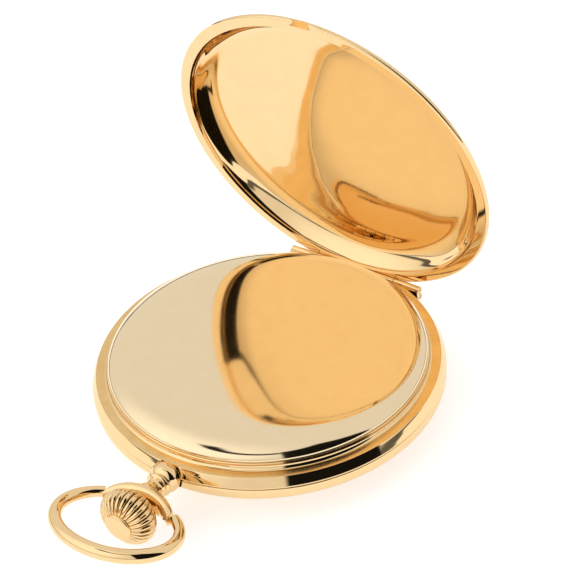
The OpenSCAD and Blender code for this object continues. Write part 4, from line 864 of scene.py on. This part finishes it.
# Camera at the photograph's angle, with the focal length in pixels of an image as wide as the photograph
FOCAL_PIXELS = 2349.62
IMAGE_PIXELS = 576
SENSOR_WIDTH = 36
camera_data = bpy.data.cameras.new("camera")
camera_data.sensor_width = SENSOR_WIDTH
camera_data.lens = FOCAL_PIXELS / IMAGE_PIXELS * SENSOR_WIDTH
camera_data.clip_start = 0.01
camera_data.clip_end = 20
camera = place_object("camera", camera_data)
camera.matrix_world = Matrix((
    (0.837486, -0.286652, 0.465240, 0.1590684),
    (0.540946, 0.555510, -0.631495, -0.2092954),
    (-0.077426, 0.780538, 0.620295, 0.2288596),
    (0, 0, 0, 1),
))
bpy.context.scene.camera = camera


def background_rays(tree):
    """1 for camera, glossy and transmission rays, so that metal and glass show the white floor too."""
    rays = node(tree, "ShaderNodeLightPath")
    total = rays.outputs["Is Camera Ray"]
    for kind in ("Is Glossy Ray", "Is Transmission Ray"):
        either = node(tree, "ShaderNodeMath", operation="MAXIMUM")
        wire(tree, (total, either.inputs[0]), (rays.outputs[kind], either.inputs[1]))
        total = either.outputs[0]
    return total


# The floor lies a little under the object, in metres, so that no two faces share a plane.
FLOOR_HALF = 3
FLOOR_Z = -0.00005
FLOOR_COLOUR = (0.72, 0.72, 0.72, 1)
FLOOR_GLOW = 0.58
floor_data = bpy.data.meshes.new("floor")
floor_corners = [(x * FLOOR_HALF, y * FLOOR_HALF, FLOOR_Z) for x, y in ((-1, -1), (1, -1), (1, 1), (-1, 1))]
floor_data.from_pydata(floor_corners, [], [(0, 1, 2, 3)])
floor = place_object("floor", floor_data)
floor_material = bpy.data.materials.new("floor")
floor_material.use_nodes = True
floor_tree = floor_material.node_tree
floor_tree.nodes.clear()
plain = node(floor_tree, "ShaderNodeBsdfDiffuse", Color=FLOOR_COLOUR)
glow = node(floor_tree, "ShaderNodeEmission", Strength=FLOOR_GLOW)
both = node(floor_tree, "ShaderNodeAddShader")
mix = node(floor_tree, "ShaderNodeMixShader")
floor_out = node(floor_tree, "ShaderNodeOutputMaterial")
wire(floor_tree,
     (plain.outputs[0], both.inputs[0]),
     (glow.outputs[0], both.inputs[1]),
     (background_rays(floor_tree), mix.inputs[0]),
     (plain.outputs[0], mix.inputs[1]),
     (both.outputs[0], mix.inputs[2]),
     (mix.outputs[0], floor_out.inputs[0]))
floor_data.materials.append(floor_material)

world = bpy.data.worlds.new("studio")
bpy.context.scene.world = world
world.use_nodes = True
room_tree = world.node_tree
room_tree.nodes.clear()
coords = node(room_tree, "ShaderNodeTexCoord")
split = node(room_tree, "ShaderNodeSeparateXYZ")
room = node(room_tree, "ShaderNodeBackground", Color=(1, 1, 1, 1))
room_out = node(room_tree, "ShaderNodeOutputWorld")
across, along, high = split.outputs


def room_math(operation, *values):
    """The result of a math node on sockets and numbers."""
    made = node(room_tree, "ShaderNodeMath", operation=operation)
    for i, value in enumerate(values):
        if isinstance(value, bpy.types.NodeSocket):
            wire(room_tree, (value, made.inputs[i]))
        else:
            made.inputs[i].default_value = value
    return made.outputs[0]


def above(value, low, high):
    """0 under the lower bound, rising softly to 1 at the upper one."""
    made = node(room_tree, "ShaderNodeMapRange", **{"From Min": low, "From Max": high})
    made.interpolation_type = "SMOOTHSTEP"
    wire(room_tree, (value, made.inputs["Value"]))
    return made.outputs["Result"]


def below(value, low, high):
    """1 under the lower bound, falling softly to 0 at the upper one."""
    return room_math("SUBTRACT", 1.0, above(value, low, high))


def facing(x, y, z):
    """Cosine of the angle between a direction and the given one."""
    level_part = room_math("ADD", room_math("MULTIPLY", across, x), room_math("MULTIPLY", along, y))
    return room_math("ADD", level_part, room_math("MULTIPLY", high, z))


def towards(x, y):
    """Cosine of the angle between a direction's bearing on the ground and the given one."""
    level_part = room_math("ADD", room_math("MULTIPLY", across, x), room_math("MULTIPLY", along, y))
    level_len = room_math("SQRT", room_math("SUBTRACT", 1.0, room_math("MULTIPLY", high, high)))
    return room_math("DIVIDE", level_part, room_math("MAXIMUM", level_len, 0.001))


# A pair of numbers holds the cosines or the heights between which a card or a glow fades.
FLAG_BEARING = (0.934, -0.358)
FLAG_SIDES = (0.86, 0.89)
FLAG_TOP = (0.955, 0.975)
STRIP_BEARING = (-0.2, -0.98)
STRIP_SIDES = (0.5, 0.7)
STRIP_FOOT = (0.90, 0.92)
STRIP_TOP = (0.945, 0.965)
CARD_DARKNESS = 0.99
HORIZON_TOP = (0.05, 0.10)
HORIZON_DARKNESS = 0.85
BRIGHT_AIM = (-0.42, -0.62, 0.66)
BRIGHT_EDGE = (0.55, 1.0)
BRIGHT_GAIN = 0.42
ROOM_LEVEL = 0.93
# A tall black flag stands at the front right of the white room.
flag = room_math("MULTIPLY", above(towards(*FLAG_BEARING), *FLAG_SIDES), below(high, *FLAG_TOP))
# A thin black strip runs on from the flag's top.
strip_height = room_math("MULTIPLY", above(high, *STRIP_FOOT), below(high, *STRIP_TOP))
strip = room_math("MULTIPLY", above(towards(*STRIP_BEARING), *STRIP_SIDES), strip_height)
cards = room_math("MULTIPLY", room_math("MAXIMUM", flag, strip), CARD_DARKNESS)
# The room is dim at the horizon and a little brighter at its front left.
horizon = room_math("MULTIPLY", below(high, *HORIZON_TOP), HORIZON_DARKNESS)
dark = room_math("MAXIMUM", cards, horizon)
brighter = room_math("MULTIPLY", above(facing(*BRIGHT_AIM), *BRIGHT_EDGE), BRIGHT_GAIN)
lightness = room_math("SUBTRACT", 1.0, dark)
strength = room_math("MULTIPLY", lightness, room_math("ADD", brighter, ROOM_LEVEL))
wire(room_tree,
     (coords.outputs["Generated"], split.inputs[0]),
     (strength, room.inputs["Strength"]),
     (room.outputs[0], room_out.inputs[0]))

# One soft round lamp, in metres and watts, aimed at the watch
LAMP_PLACE = (-0.336, -0.496, 0.528)
LAMP_AIM = (0, 0, 0.01)
lamp_data = bpy.data.lights.new("softbox", "AREA")
lamp_data.shape = "DISK"
lamp_data.size = 0.5
lamp_data.energy = 0.5
lamp = place_object("softbox", lamp_data)
lamp.location = LAMP_PLACE
lamp.rotation_mode = "QUATERNION"
lamp.rotation_quaternion = (Vector(LAMP_AIM) - Vector(LAMP_PLACE)).to_track_quat("-Z", "Y")
lamp.visible_glossy = False

bpy.context.scene.view_settings.view_transform = "Standard"
